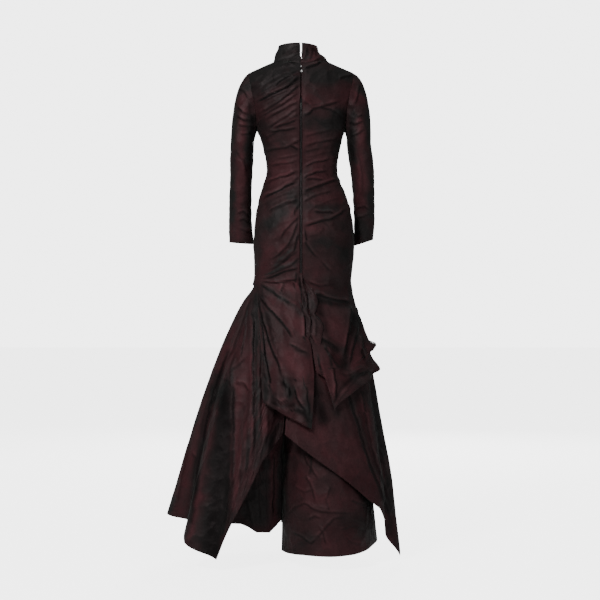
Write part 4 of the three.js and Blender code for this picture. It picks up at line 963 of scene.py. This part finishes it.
def underskirt(side, stated, share):
    """An underskirt: stated is a column's angle in the hem's table, and share runs down it."""
    hem = UNDER_HEM[side]
    span = hem["angle"][-1] - hem["angle"][0]
    along = (stated - hem["angle"][0]) / span
    height = mix(SKIRT_TOP - 3, straight(hem, "angle", stated, "height"), share)
    read = {name: smooth(UNDER_RIGHT, "height", height, name) for name in UNDER_RIGHT if name != "height"}
    seam_x = read["centre"] - read["half"] * np.sin(np.radians(read["start"]))
    seam_y = read["back"] * np.cos(np.radians(read["start"]))
    turn = np.radians(mix(-read["start"], 180, along) if side > 0 else -180 * along)
    front = np.cos(turn) < 0
    left, right = measures(height, "left", "right")
    middle = (left + right) / 2
    centre = mix(read["centre"] if side > 0 else seam_x, middle, np.where(front, ease(-np.cos(turn)), 0))
    half = read["half"] if side > 0 else smooth(UNDER_LEFT, "height", height, "half")
    reach = np.where(front, read["front"], -read["back"] if side > 0 else -seam_y)
    fade = ease(along * 6) * ease((1 - along) * 6)
    wave = mix(2, 7, ease(-2 * np.cos(turn))) * share**2 * np.sin(turn * 9 + 1) * fade
    hanging = np.stack([
        centre + (half + wave) * np.sin(turn) + side * 0.7, -(reach + wave) * np.cos(turn), height,
    ], -1)
    sewn = figure(side * mix(0.4, 179.6, along), height, -UNDER_TUCK)
    return mix(sewn, hanging, ease((SKIRT_TOP - 3 - height) / 150)[..., None])


def frill(side, s, share):
    """A frill: s runs from its crease to its wavy edge, and share down the seam."""
    tab = FRILL[side]
    height = mix(tab["height"][0], tab["height"][-1], share)
    x = mix(smooth(tab, "height", height, "inner"), smooth(tab, "height", height, "outer"), s)
    grown = ease(share * 5) * ease((1 - share) * 5)
    wave = 3 * np.sin(2 * np.pi * 3.2 * share + 1 + side) * s
    rolled = 2.3 + 8 * ease(s / 0.8) - 2 * ease((s - 0.85) / 0.15) + wave
    lift = peplum_clear(height) + 1.7 + grown * rolled
    return on_back(x, height, lift)


# Mesh making
def placed(name, data):
    """A new object in the scene."""
    made = bpy.data.objects.new(name, data)
    bpy.context.scene.collection.objects.link(made)
    return made


def normals_of(points, closed):
    if closed:
        along = np.roll(points, -1, 1) - np.roll(points, 1, 1)
    else:
        along = np.gradient(points, axis=1)
    under = np.gradient(points, axis=0)
    normal = np.cross(along, under)
    normal /= np.maximum(np.linalg.norm(normal, axis=-1, keepdims=True), 1e-9)
    return normal


def along_cloth(points):
    """Millimetres along each row from its middle, and millimetres of height."""
    steps = np.linalg.norm(np.diff(points, axis=1), axis=-1)
    run = np.concatenate([np.zeros((len(points), 1)), np.cumsum(steps, axis=1)], axis=1)
    return run - run[:, run.shape[1] // 2, None], points[..., 2]


def thread_colour(base, plain, worn_normal, wash, side_painted_sheen):
    """Wine or green-black by patches and by the listed washes, with painted sheen by the cloth's lie."""
    along, down = along_cloth(base)
    patch = TONE["patch"] * noise(along / 130, down / 90, 77)
    patch = patch + TONE["small_patch"] * noise(along / 38, down / 30, 78)
    straightness = (worn_normal * plain).sum(-1)
    wine = TONE["plain"] + patch + TONE["wash"] * wash
    # Painted sheen: fold flanks, turned from the plain lie, are painted green-black.
    wine -= TONE["bent"] * (1 - ease((straightness - 0.82) / 0.16))
    # Painted sheen: facets tilted upward are painted green-black.
    wine -= TONE["upturned_painted_sheen"] * ease((worn_normal[..., 2] - plain[..., 2] - 0.1) / 0.35)
    # Painted sheen: the wine fades where the sheet turns side-on to the back and front views.
    return wine * mix(1 - side_painted_sheen, 1, ease((np.abs(plain[..., 1]) - 0.15) / 0.6))


def grid_faces(rows, columns, closed, flip):
    """The corners of each face of a grid of points."""
    index = np.arange(rows * columns).reshape(rows, columns)
    right = np.roll(index, -1, 1) if closed else index[:, 1:]
    left = index if closed else index[:, :-1]
    quads = np.stack([left[:-1], right[:-1], right[1:], left[1:]], -1).reshape(-1, 4)
    return quads[:, ::-1] if flip > 0 else quads


def grid_mesh(name, points, quads):
    mesh = bpy.data.meshes.new(name)
    mesh.vertices.add(points.size // 3)
    mesh.vertices.foreach_set("co", (points.reshape(-1) / 1000).astype(np.float32))
    mesh.loops.add(quads.size)
    mesh.loops.foreach_set("vertex_index", quads.reshape(-1).astype(np.int32))
    mesh.polygons.add(len(quads))
    mesh.polygons.foreach_set("loop_start", np.arange(0, quads.size, 4, dtype=np.int32))
    mesh.polygons.foreach_set("loop_total", np.full(len(quads), 4, np.int32))
    mesh.update(calc_edges=True)
    mesh.polygons.foreach_set("use_smooth", np.ones(len(quads), bool))
    return mesh


def shell(name, node, base, worn, material, closed, wall, side_painted_sheen):
    """A thin shell on a grid of points, moved out by its folds, with thread colours and painted shade."""
    plain = normals_of(base, closed)
    outward = base - (base.mean(axis=(0, 1)) if closed else 0.0)
    outward[..., 2] = 0
    flip = -1 if (plain * outward).sum() < 0 else 1
    plain = plain * flip
    folds, hollow, wash = drawn(node, base, -plain[..., 1])
    points = base + plain * worn(base, folds)[..., None]
    wine = thread_colour(base, plain, normals_of(points, closed) * flip, wash, side_painted_sheen)
    quads = grid_faces(*points.shape[:2], closed, flip)
    mesh = grid_mesh(name, points, quads)
    # The wine attribute carries thread colour with painted sheen, and hollow carries painted shade and
    # light.
    for label, values in (("wine", wine), ("hollow", hollow)):
        layer = mesh.attributes.new(label, "FLOAT", "POINT")
        layer.data.foreach_set("value", np.clip(values, PALEST, 1).reshape(-1).astype(np.float32))
    uv = mesh.uv_layers.new(name="cloth")
    flat = np.stack(along_cloth(base), -1).reshape(-1, 2)[quads.reshape(-1)] / 1000
    uv.data.foreach_set("uv", flat.reshape(-1).astype(np.float32))
    mesh.validate()
    piece = placed(name, mesh)
    mesh.materials.append(material)
    thick = piece.modifiers.new("wall", "SOLIDIFY")
    thick.thickness = wall / 1000
    thick.offset = 0
    thick.use_even_offset = False
    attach(piece, "gown")
    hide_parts(node)
    return piece


def grid(columns, rows):
    return np.meshgrid(np.asarray(columns, float), np.asarray(rows, float))


def fine(count):
    return np.linspace(0, 1, int(count * FINE) + 1)


def hem_columns(tab, narrow, wide):
    """Columns through every corner of the hem, narrow on the back and wide elsewhere."""
    stops = [tab["angle"][0]]
    for a, b in zip(tab["angle"][:-1], tab["angle"][1:]):
        while abs(b - stops[-1]) > 1e-6:
            step = (narrow if abs(stops[-1]) < 80 else wide) / FINE
            left = b - stops[-1]
            stops.append(stops[-1] + left / math.ceil(abs(left) / step))
    return np.array(stops)


# Materials
def group_socket(group, name, out=False, value=None):
    side = "OUTPUT" if out else "INPUT"
    socket = group.interface.new_socket(name=name, in_out=side, socket_type="NodeSocketFloat")
    if value is not None:
        socket.default_value = value


def feed(tree, node, inputs):
    """Gives each named input its constant, or its link where a socket is given."""
    for name, value in inputs.items():
        if isinstance(value, bpy.types.NodeSocket):
            tree.links.new(value, node.inputs[name])
        else:
            node.inputs[name].default_value = value


def add_node(tree, kind, inputs=None, **settings):
    node = tree.nodes.new("ShaderNode" + kind)
    for name, value in settings.items():
        setattr(node, name, value)
    feed(tree, node, inputs or {})
    return node


def weave_group():
    """A plain weave with slubs: gives a shade mask and a height."""
    group = bpy.data.node_groups.new("plain_weave", "ShaderNodeTree")
    group_socket(group, "Threads per metre", value=1600.0)
    group_socket(group, "Shade", out=True)
    group_socket(group, "Height", out=True)
    entry, leave = group.nodes.new("NodeGroupInput"), group.nodes.new("NodeGroupOutput")
    place = add_node(group, "UVMap", uv_map="cloth").outputs[0]
    scaled = add_node(group, "VectorMath", operation="SCALE")
    feed(group, scaled, {0: place, "Scale": entry.outputs[0]})
    weave = add_node(group, "TexChecker", {
        "Color1": (1, 1, 1, 1), "Color2": (0, 0, 0, 1), "Scale": 1.0, "Vector": scaled.outputs[0],
    })
    slub_place = add_node(group, "Mapping", {"Scale": (18, 900, 1), "Vector": place})
    slub = add_node(group, "TexNoise", {
        "Scale": 1.0, "Detail": 3.0, "Vector": slub_place.outputs[0],
    })
    cloud = add_node(group, "TexNoise", {"Scale": 26.0, "Detail": 5.0, "Vector": place})
    blend = add_node(group, "Math", operation="MULTIPLY_ADD")
    feed(group, blend, {0: slub.outputs["Fac"], 1: 0.35, 2: cloud.outputs["Fac"]})
    tall = add_node(group, "Math", operation="MULTIPLY_ADD")
    feed(group, tall, {0: weave.outputs["Fac"], 1: 0.25, 2: blend.outputs[0]})
    feed(group, leave, {"Shade": blend.outputs[0], "Height": tall.outputs[0]})
    return group


def crinkle_group():
    """Crisp little creases of silk taffeta: gives a height, and a value for each facet."""
    group = bpy.data.node_groups.new("crisp_creases", "ShaderNodeTree")
    group_socket(group, "Creases per metre", value=24.0)
    group_socket(group, "Height", out=True)
    group_socket(group, "Facet", out=True)
    entry, leave = group.nodes.new("NodeGroupInput"), group.nodes.new("NodeGroupOutput")
    place = add_node(group, "UVMap", uv_map="cloth").outputs[0]
    bend = add_node(group, "TexNoise", {"Scale": 16.0, "Vector": place})
    bent = add_node(group, "VectorMath", operation="MULTIPLY_ADD")
    feed(group, bent, {0: bend.outputs["Color"], 1: (0.03, 0.03, 0.03), 2: place})
    facets = add_node(group, "TexVoronoi", feature="SMOOTH_F1")
    feed(group, facets, {
        "Smoothness": 0.1, "Vector": bent.outputs[0], "Scale": entry.outputs[0],
    })
    soft = add_node(group, "TexNoise", {
        "Detail": 2.0, "Vector": place, "Scale": entry.outputs[0],
    })
    height = add_node(group, "Math", operation="MULTIPLY")
    feed(group, height, {0: facets.outputs["Distance"], 1: soft.outputs["Fac"]})
    facet = add_node(group, "SeparateColor", {0: facets.outputs["Color"]})
    feed(group, leave, {"Height": height.outputs[0], "Facet": facet.outputs[0]})
    return group


WEAVE = weave_group()
CREASES = crinkle_group()


def shader(name, roughness, metallic=0.0, base=(0.02, 0.02, 0.02)):
    material = bpy.data.materials.new(name)
    material.use_nodes = True
    bsdf = material.node_tree.nodes["Principled BSDF"]
    bsdf.inputs["Base Color"].default_value = (*base, 1)
    bsdf.inputs["Roughness"].default_value = roughness
    bsdf.inputs["Metallic"].default_value = metallic
    return material, bsdf


def weave_range(tree, weave, low, high):
    return add_node(tree, "MapRange", {
        "From Min": 0.35, "From Max": 0.95, "To Min": low, "To Max": high,
        "Value": weave.outputs["Shade"],
    })


def taffeta():
    """Shot silk, wine one way and green-black the other, with painted shade and painted highlights."""
    material, bsdf = shader("shot_taffeta", 0.42)
    tree = material.node_tree
    weave = add_node(tree, "Group", node_tree=WEAVE)
    creases = add_node(tree, "Group", node_tree=CREASES)
    tone = add_node(tree, "Attribute", attribute_name="wine")
    hollow = add_node(tree, "Attribute", attribute_name="hollow")
    turn = add_node(tree, "MapRange", {
        "To Min": -FACET_TONE, "To Max": FACET_TONE, "Value": creases.outputs["Facet"],
    })
    lead = add_node(tree, "Math", operation="ADD", use_clamp=True)
    feed(tree, lead, {0: tone.outputs["Fac"], 1: turn.outputs[0]})
    colour = add_node(tree, "Mix", data_type="RGBA")
    feed(tree, colour, {0: lead.outputs[0], 6: (*GREEN_BLACK, 1), 7: (*WINE, 1)})
    shade = weave_range(tree, weave, 0.72, 1.25)
    # Painted shade: a hollow of 1 scales the colour to 0.12, and painted highlights below 0 brighten it.
    dark = add_node(tree, "MapRange", {
        "To Min": 1.0, "To Max": 0.12, "Value": hollow.outputs["Fac"],
    }, clamp=False)
    weave_tone_and_painted_shade = add_node(tree, "Math", operation="MULTIPLY")
    feed(tree, weave_tone_and_painted_shade, {0: shade.outputs[0], 1: dark.outputs[0]})
    dye_and_painted_shade = add_node(tree, "VectorMath", operation="SCALE")
    feed(tree, dye_and_painted_shade, {0: colour.outputs[2], "Scale": weave_tone_and_painted_shade.outputs[0]})
    rough = weave_range(tree, weave, 0.46, 0.62)
    bump = add_node(tree, "Bump", {
        "Strength": 0.18, "Distance": 0.0006, "Height": weave.outputs["Height"],
    })
    crisp = add_node(tree, "Bump", {
        "Strength": 0.7, "Distance": 0.012, "Height": creases.outputs["Height"],
        "Normal": bump.outputs[0],
    })
    feed(tree, bsdf, {
        "Base Color": dye_and_painted_shade.outputs[0], "Roughness": rough.outputs[0], "Normal": crisp.outputs[0],
    })
    bsdf.inputs["Specular IOR Level"].default_value = 0.2
    bsdf.inputs["Specular Tint"].default_value = (1, 0.82, 0.84, 1)
    bsdf.inputs["Sheen Weight"].default_value = 0.12
    bsdf.inputs["Sheen Roughness"].default_value = 0.35
    bsdf.inputs["Sheen Tint"].default_value = (0.5, 0.6, 0.55, 1)
    return material


TAFFETA = taffeta()


def cloth(name, surface, columns, rows, worn, closed=False, wall=WALL, side_painted_sheen=0.5):
    """Builds one piece on its solid's form, named after it."""
    u, v = grid(columns, rows)
    piece = shell("gown_" + name, name, surface(u, v), lambda base, folds: worn(base, u, v, folds),
                  TAFFETA, closed, wall, side_painted_sheen)


def rumple(seed, size, coarse, small=22.0, small_rise=0.3, drape=1.0, tall=1.0):
    """Random wrinkles: the large ones come in patches, the small ones are everywhere."""
    def lift(base, u, v, folds):
        x, z = np.arctan2(base[..., 0], -base[..., 1]) * BODY_RADIUS, base[..., 2]
        patches = ease(0.5 + 1.3 * noise(x / 90, z / 90, seed + 8))
        patches = patches * mix(1, drape, ease((SKIRT_TOP - z) / 60))
        return (folds + coarse * patches * crumple(x / size, z / size / tall, seed, 7)
                + small_rise * crumple(x / small, z / small / tall, seed + 3, 5))
    return lift


def still_seams(worn):
    """Lets a panel's seams lie still while its middle folds."""
    def held(base, u, v, folds):
        hold = ease(u / 0.04) * ease((1 - u) / 0.03)
        return worn(base, u, v, folds) * mix(0.15, 1, hold)
    return held


cloth("back_left", partial(back_panel, -1), fine(112), fine(288),
      still_seams(rumple(5, 50, 0.6, drape=2.6)))
cloth("back_right", partial(back_panel, 1), fine(112), fine(278),
      still_seams(rumple(15, 50, 0.6, drape=2.6)))
cloth("front", front_panel, fine(104), fine(150), still_seams(rumple(25, 60, 0.7)))


def collar_worn(base, u, v, folds):
    x = u * COLLAR_LENGTH
    drape = 1.6 * np.sin(v * 9 + x / 30) * ease(v * 3) * ease((1 - v) * 4)
    return drape + 0.7 * crumple(x / 40, v * 2.4, 31, 6) * ease(v * 4 + 0.2)


cloth("collar", collar, fine(160), fine(32), collar_worn)


def sleeve_worn(side):
    def lift(base, u, v, folds):
        down = v * SLEEVE_LENGTH
        ring, cross = np.cos(np.radians(u)), np.sin(np.radians(u))
        bands = noise(ring * 0.9 + down / 40, cross * 0.9 + down / 75, 41 + side)
        soft = 1.0 * bands * ease(v * 9) * ease((1 - v) * 12)
        crisp = 0.5 * crumple(ring * 0.9 + down / 60, cross * 0.9 + down / 120, 43 + side, 7)
        return soft + (crisp + folds) * ease(v * 10) * ease((1 - v) * 20 + 0.2)
    return lift


for side, name in ((-1, "sleeve_left"), (1, "sleeve_right")):
    cloth(name, partial(sleeve, side), np.arange(0, 360, 4.8), fine(172), sleeve_worn(side),
          closed=True, side_painted_sheen=0.75)


# Skirts
def skirt_rows(count, low):
    """Rows down a skirt: closer at the hem where low is below 1."""
    return fine(count) ** low


def skirt_worn(seed, size, coarse):
    worn = rumple(seed, size, coarse, 30, 0.22, tall=2.4)

    def lift(base, u, v, folds):
        return ease(v * 6 + 0.05) * worn(base, u, v, folds)
    return lift


def frill_worn(side):
    def lift(base, u, v, folds):
        return folds * u * (1 - u) + 0.5 * noise(u * 3, v * 40, 71 + side)
    return lift


for side, name in ((-1, "overskirt_left"), (1, "overskirt_right")):
    cloth(name, partial(overskirt, side), hem_columns(OVER_HEM[side], 0.65, 2.4),
          skirt_rows(158, 1.05), skirt_worn(51 + side, 110, 0.8))
for side, name in ((-1, "underskirt_left"), (1, "underskirt_right")):
    cloth(name, partial(underskirt, side), hem_columns(UNDER_HEM[side], 0.85, 3.3),
          skirt_rows(190, 0.7), skirt_worn(61 + side, 70, 1.4))
for side, name in ((-1, "frill_left"), (1, "frill_right")):
    cloth(name, partial(frill, side), fine(14), fine(190), frill_worn(side), wall=1.0)


# Zip and buttons
ZIP_TOP, ZIP_END = -152.0, -713.0
TOOTH = {"pitch": 2.3, "inner": -0.55, "outer": 2.75, "half": 0.62, "low": -1.7, "high": -0.1}


def zip_teeth(material):
    """Two rows of small metal teeth that mesh by turns along the centre back."""
    corners, faces = [], []
    count = int((ZIP_TOP - ZIP_END) / TOOTH["pitch"] * 2) - 1
    for k in range(count):
        side = 1 if k % 2 else -1
        height = ZIP_TOP - (k + 1) * TOOTH["pitch"] / 2
        first = len(corners)
        for lift, shrink in ((TOOTH["low"], 1.0), (TOOTH["high"] - 0.35, 1.0), (TOOTH["high"], 0.6)):
            inner = side * mix(TOOTH["outer"], TOOTH["inner"], shrink**0.5)
            outer = side * (TOOTH["outer"] - 0.4 * (1 - shrink))
            for x, rise in ((inner, 0.8), (inner, -0.8), (outer, -1), (outer, 1)):
                corners.append(on_back(x, height + rise * TOOTH["half"] * shrink, lift) / 1000)
        for low in (first, first + 4):
            faces += [(low + n, low + (n + 1) % 4, low + 4 + (n + 1) % 4, low + 4 + n) for n in range(4)]
        faces += [tuple(first + n for n in (3, 2, 1, 0)), tuple(first + 8 + n for n in range(4))]
    mesh = bpy.data.meshes.new("gown_zip_teeth")
    mesh.from_pydata([tuple(c) for c in corners], [], faces)
    piece = placed("gown_zip_teeth", mesh)
    tidy = bmesh.new()
    tidy.from_mesh(mesh)
    bmesh.ops.recalc_face_normals(tidy, faces=tidy.faces)
    tidy.to_mesh(mesh)
    tidy.free()
    mesh.materials.append(material)
    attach(piece, "gown")
    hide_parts("zip_coil")


def worn_metal(name, base, roughness, metallic, spots):
    """Metal whose polish is rubbed unevenly, with a fine bumpy grain."""
    material, bsdf = shader(name, roughness, metallic, base)
    tree = material.node_tree
    place = add_node(tree, "TexCoord").outputs["Object"]
    cloud = add_node(tree, "TexNoise", {
        "Scale": spots, "Detail": 4.0, "Vector": place,
    }).outputs["Fac"]
    rough = add_node(tree, "MapRange", {
        "To Min": roughness * 0.7, "To Max": roughness * 1.4, "Value": cloud,
    })
    tint = add_node(tree, "Mix", data_type="RGBA")
    feed(tree, tint, {
        0: cloud, 6: (*(0.8 * c for c in base), 1), 7: (*(min(1.0, 1.15 * c) for c in base), 1),
    })
    bump = add_node(tree, "Bump", {"Strength": 0.15, "Distance": 0.0001, "Height": cloud})
    feed(tree, bsdf, {
        "Base Color": tint.outputs[2], "Roughness": rough.outputs[0], "Normal": bump.outputs[0],
    })
    return material


def tape_cloth():
    """The ribbed dark tape that carries the zip."""
    material, bsdf = shader("zip_tape", 0.75, base=(0.014, 0.012, 0.013))
    tree = material.node_tree
    place = add_node(tree, "TexCoord").outputs["Object"]
    ribs = add_node(tree, "TexWave", {
        "Scale": 320.0, "Distortion": 0.6, "Vector": place,
    }, bands_direction="X").outputs["Fac"]
    tint = add_node(tree, "Mix", data_type="RGBA")
    feed(tree, tint, {0: ribs, 6: (0.009, 0.008, 0.0085, 1), 7: (0.022, 0.018, 0.019, 1)})
    bump = add_node(tree, "Bump", {"Strength": 0.4, "Distance": 0.0002, "Height": ribs})
    feed(tree, bsdf, {"Base Color": tint.outputs[2], "Normal": bump.outputs[0]})
    bsdf.inputs["Specular IOR Level"].default_value = 0.2
    return material


def finish_node(node, material, rounding=0.0):
    """Gives a CAD node its material, and softens its edges where it has hard ones."""
    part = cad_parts[node]
    for place in part.material_slots:
        place.material = material
    if rounding:
        bevel = part.modifiers.new("soft_edges", "BEVEL")
        bevel.width = rounding / 1000
        bevel.segments = 2
        bevel.limit_method = "ANGLE"
        bevel.angle_limit = math.radians(40)


zip_teeth(worn_metal("dark_zip_metal", (0.100, 0.085, 0.088), 0.42, 0.8, 900.0))
TAPE = tape_cloth()
SILVER = worn_metal("silver_zip_metal", (0.24, 0.235, 0.23), 0.24, 1.0, 400.0)
POLISHED = worn_metal("silver_buttons", (0.86, 0.85, 0.84), 0.22, 0.9, 260.0)
for node in ("zip_tape_left", "zip_tape_right"):
    finish_node(node, TAPE)
for node in ("zip_slider", "zip_pull"):
    finish_node(node, SILVER, 0.18)
for index in range(1, 5):
    finish_node("neck_button_" + str(index), POLISHED)

# Studio
FLOOR_Z = -1.668
FLOOR_CORNERS = [(-20, -8, FLOOR_Z), (20, -8, FLOOR_Z), (20, 22, FLOOR_Z), (-20, 22, FLOOR_Z)]


def pale_floor():
    mesh = bpy.data.meshes.new("floor")
    mesh.from_pydata(FLOOR_CORNERS, [], [(0, 1, 2, 3)])
    floor = placed("floor", mesh)
    pale, bsdf = shader("pale_floor", 0.9, base=(0.86, 0.86, 0.86))
    tree = pale.node_tree
    seen = add_node(tree, "LightPath").outputs["Is Camera Ray"]
    feed(tree, bsdf, {"Emission Color": seen, "Emission Strength": 3.9})
    mesh.materials.append(pale)


def studio_world():
    """Soft grey light from all round, seen by the camera as a bright sweep."""
    world = bpy.data.worlds.new("studio")
    world.use_nodes = True
    tree = world.node_tree
    soft = tree.nodes["Background"]
    feed(tree, soft, {0: (0.95, 0.98, 1, 1), 1: 0.1})
    bright = add_node(tree, "Background", {0: (1, 1, 1, 1), 1: 4.4})
    ray = add_node(tree, "LightPath").outputs["Is Camera Ray"]
    blend = add_node(tree, "MixShader", {0: ray, 1: soft.outputs[0], 2: bright.outputs[0]})
    feed(tree, tree.nodes["World Output"], {0: blend.outputs[0]})
    bpy.context.scene.world = world


def softbox(name, where, aim, size, power):
    data = bpy.data.lights.new(name, "AREA")
    data.shape = "RECTANGLE"
    data.size, data.size_y = size
    data.energy = power
    lamp = placed(name, data)
    lamp.location = where
    lamp.rotation_euler = (Vector(aim) - Vector(where)).to_track_quat("-Z", "Y").to_euler()


pale_floor()
studio_world()
softbox("key", (-1.9, -3.2, 1.9), (0, 0, -1.1), (0.9, 0.9), 108)
softbox("fill", (2.6, -3.8, -0.4), (0, 0, -0.8), (1.6, 2.2), 22)
softbox("front_key", (0.5, 4.4, 0.5), (0, 0, -0.8), (1.2, 1.2), 120)
softbox("top", (0.2, -0.8, 2.6), (0, 0, -0.6), (1.6, 1.2), 8)

SENSOR = 36
camera_data = bpy.data.cameras.new("camera")
camera_data.sensor_width = SENSOR
camera_data.lens = SENSOR / 2 * VIEW_DISTANCE / (GRID_MIDDLE * SQUARE)
camera = placed("camera", camera_data)
camera.location = (VIEW_X / 1000, -VIEW_DISTANCE / 1000, VIEW_Z / 1000)
camera.rotation_euler = (math.pi / 2, 0, 0)
bpy.context.scene.camera = camera
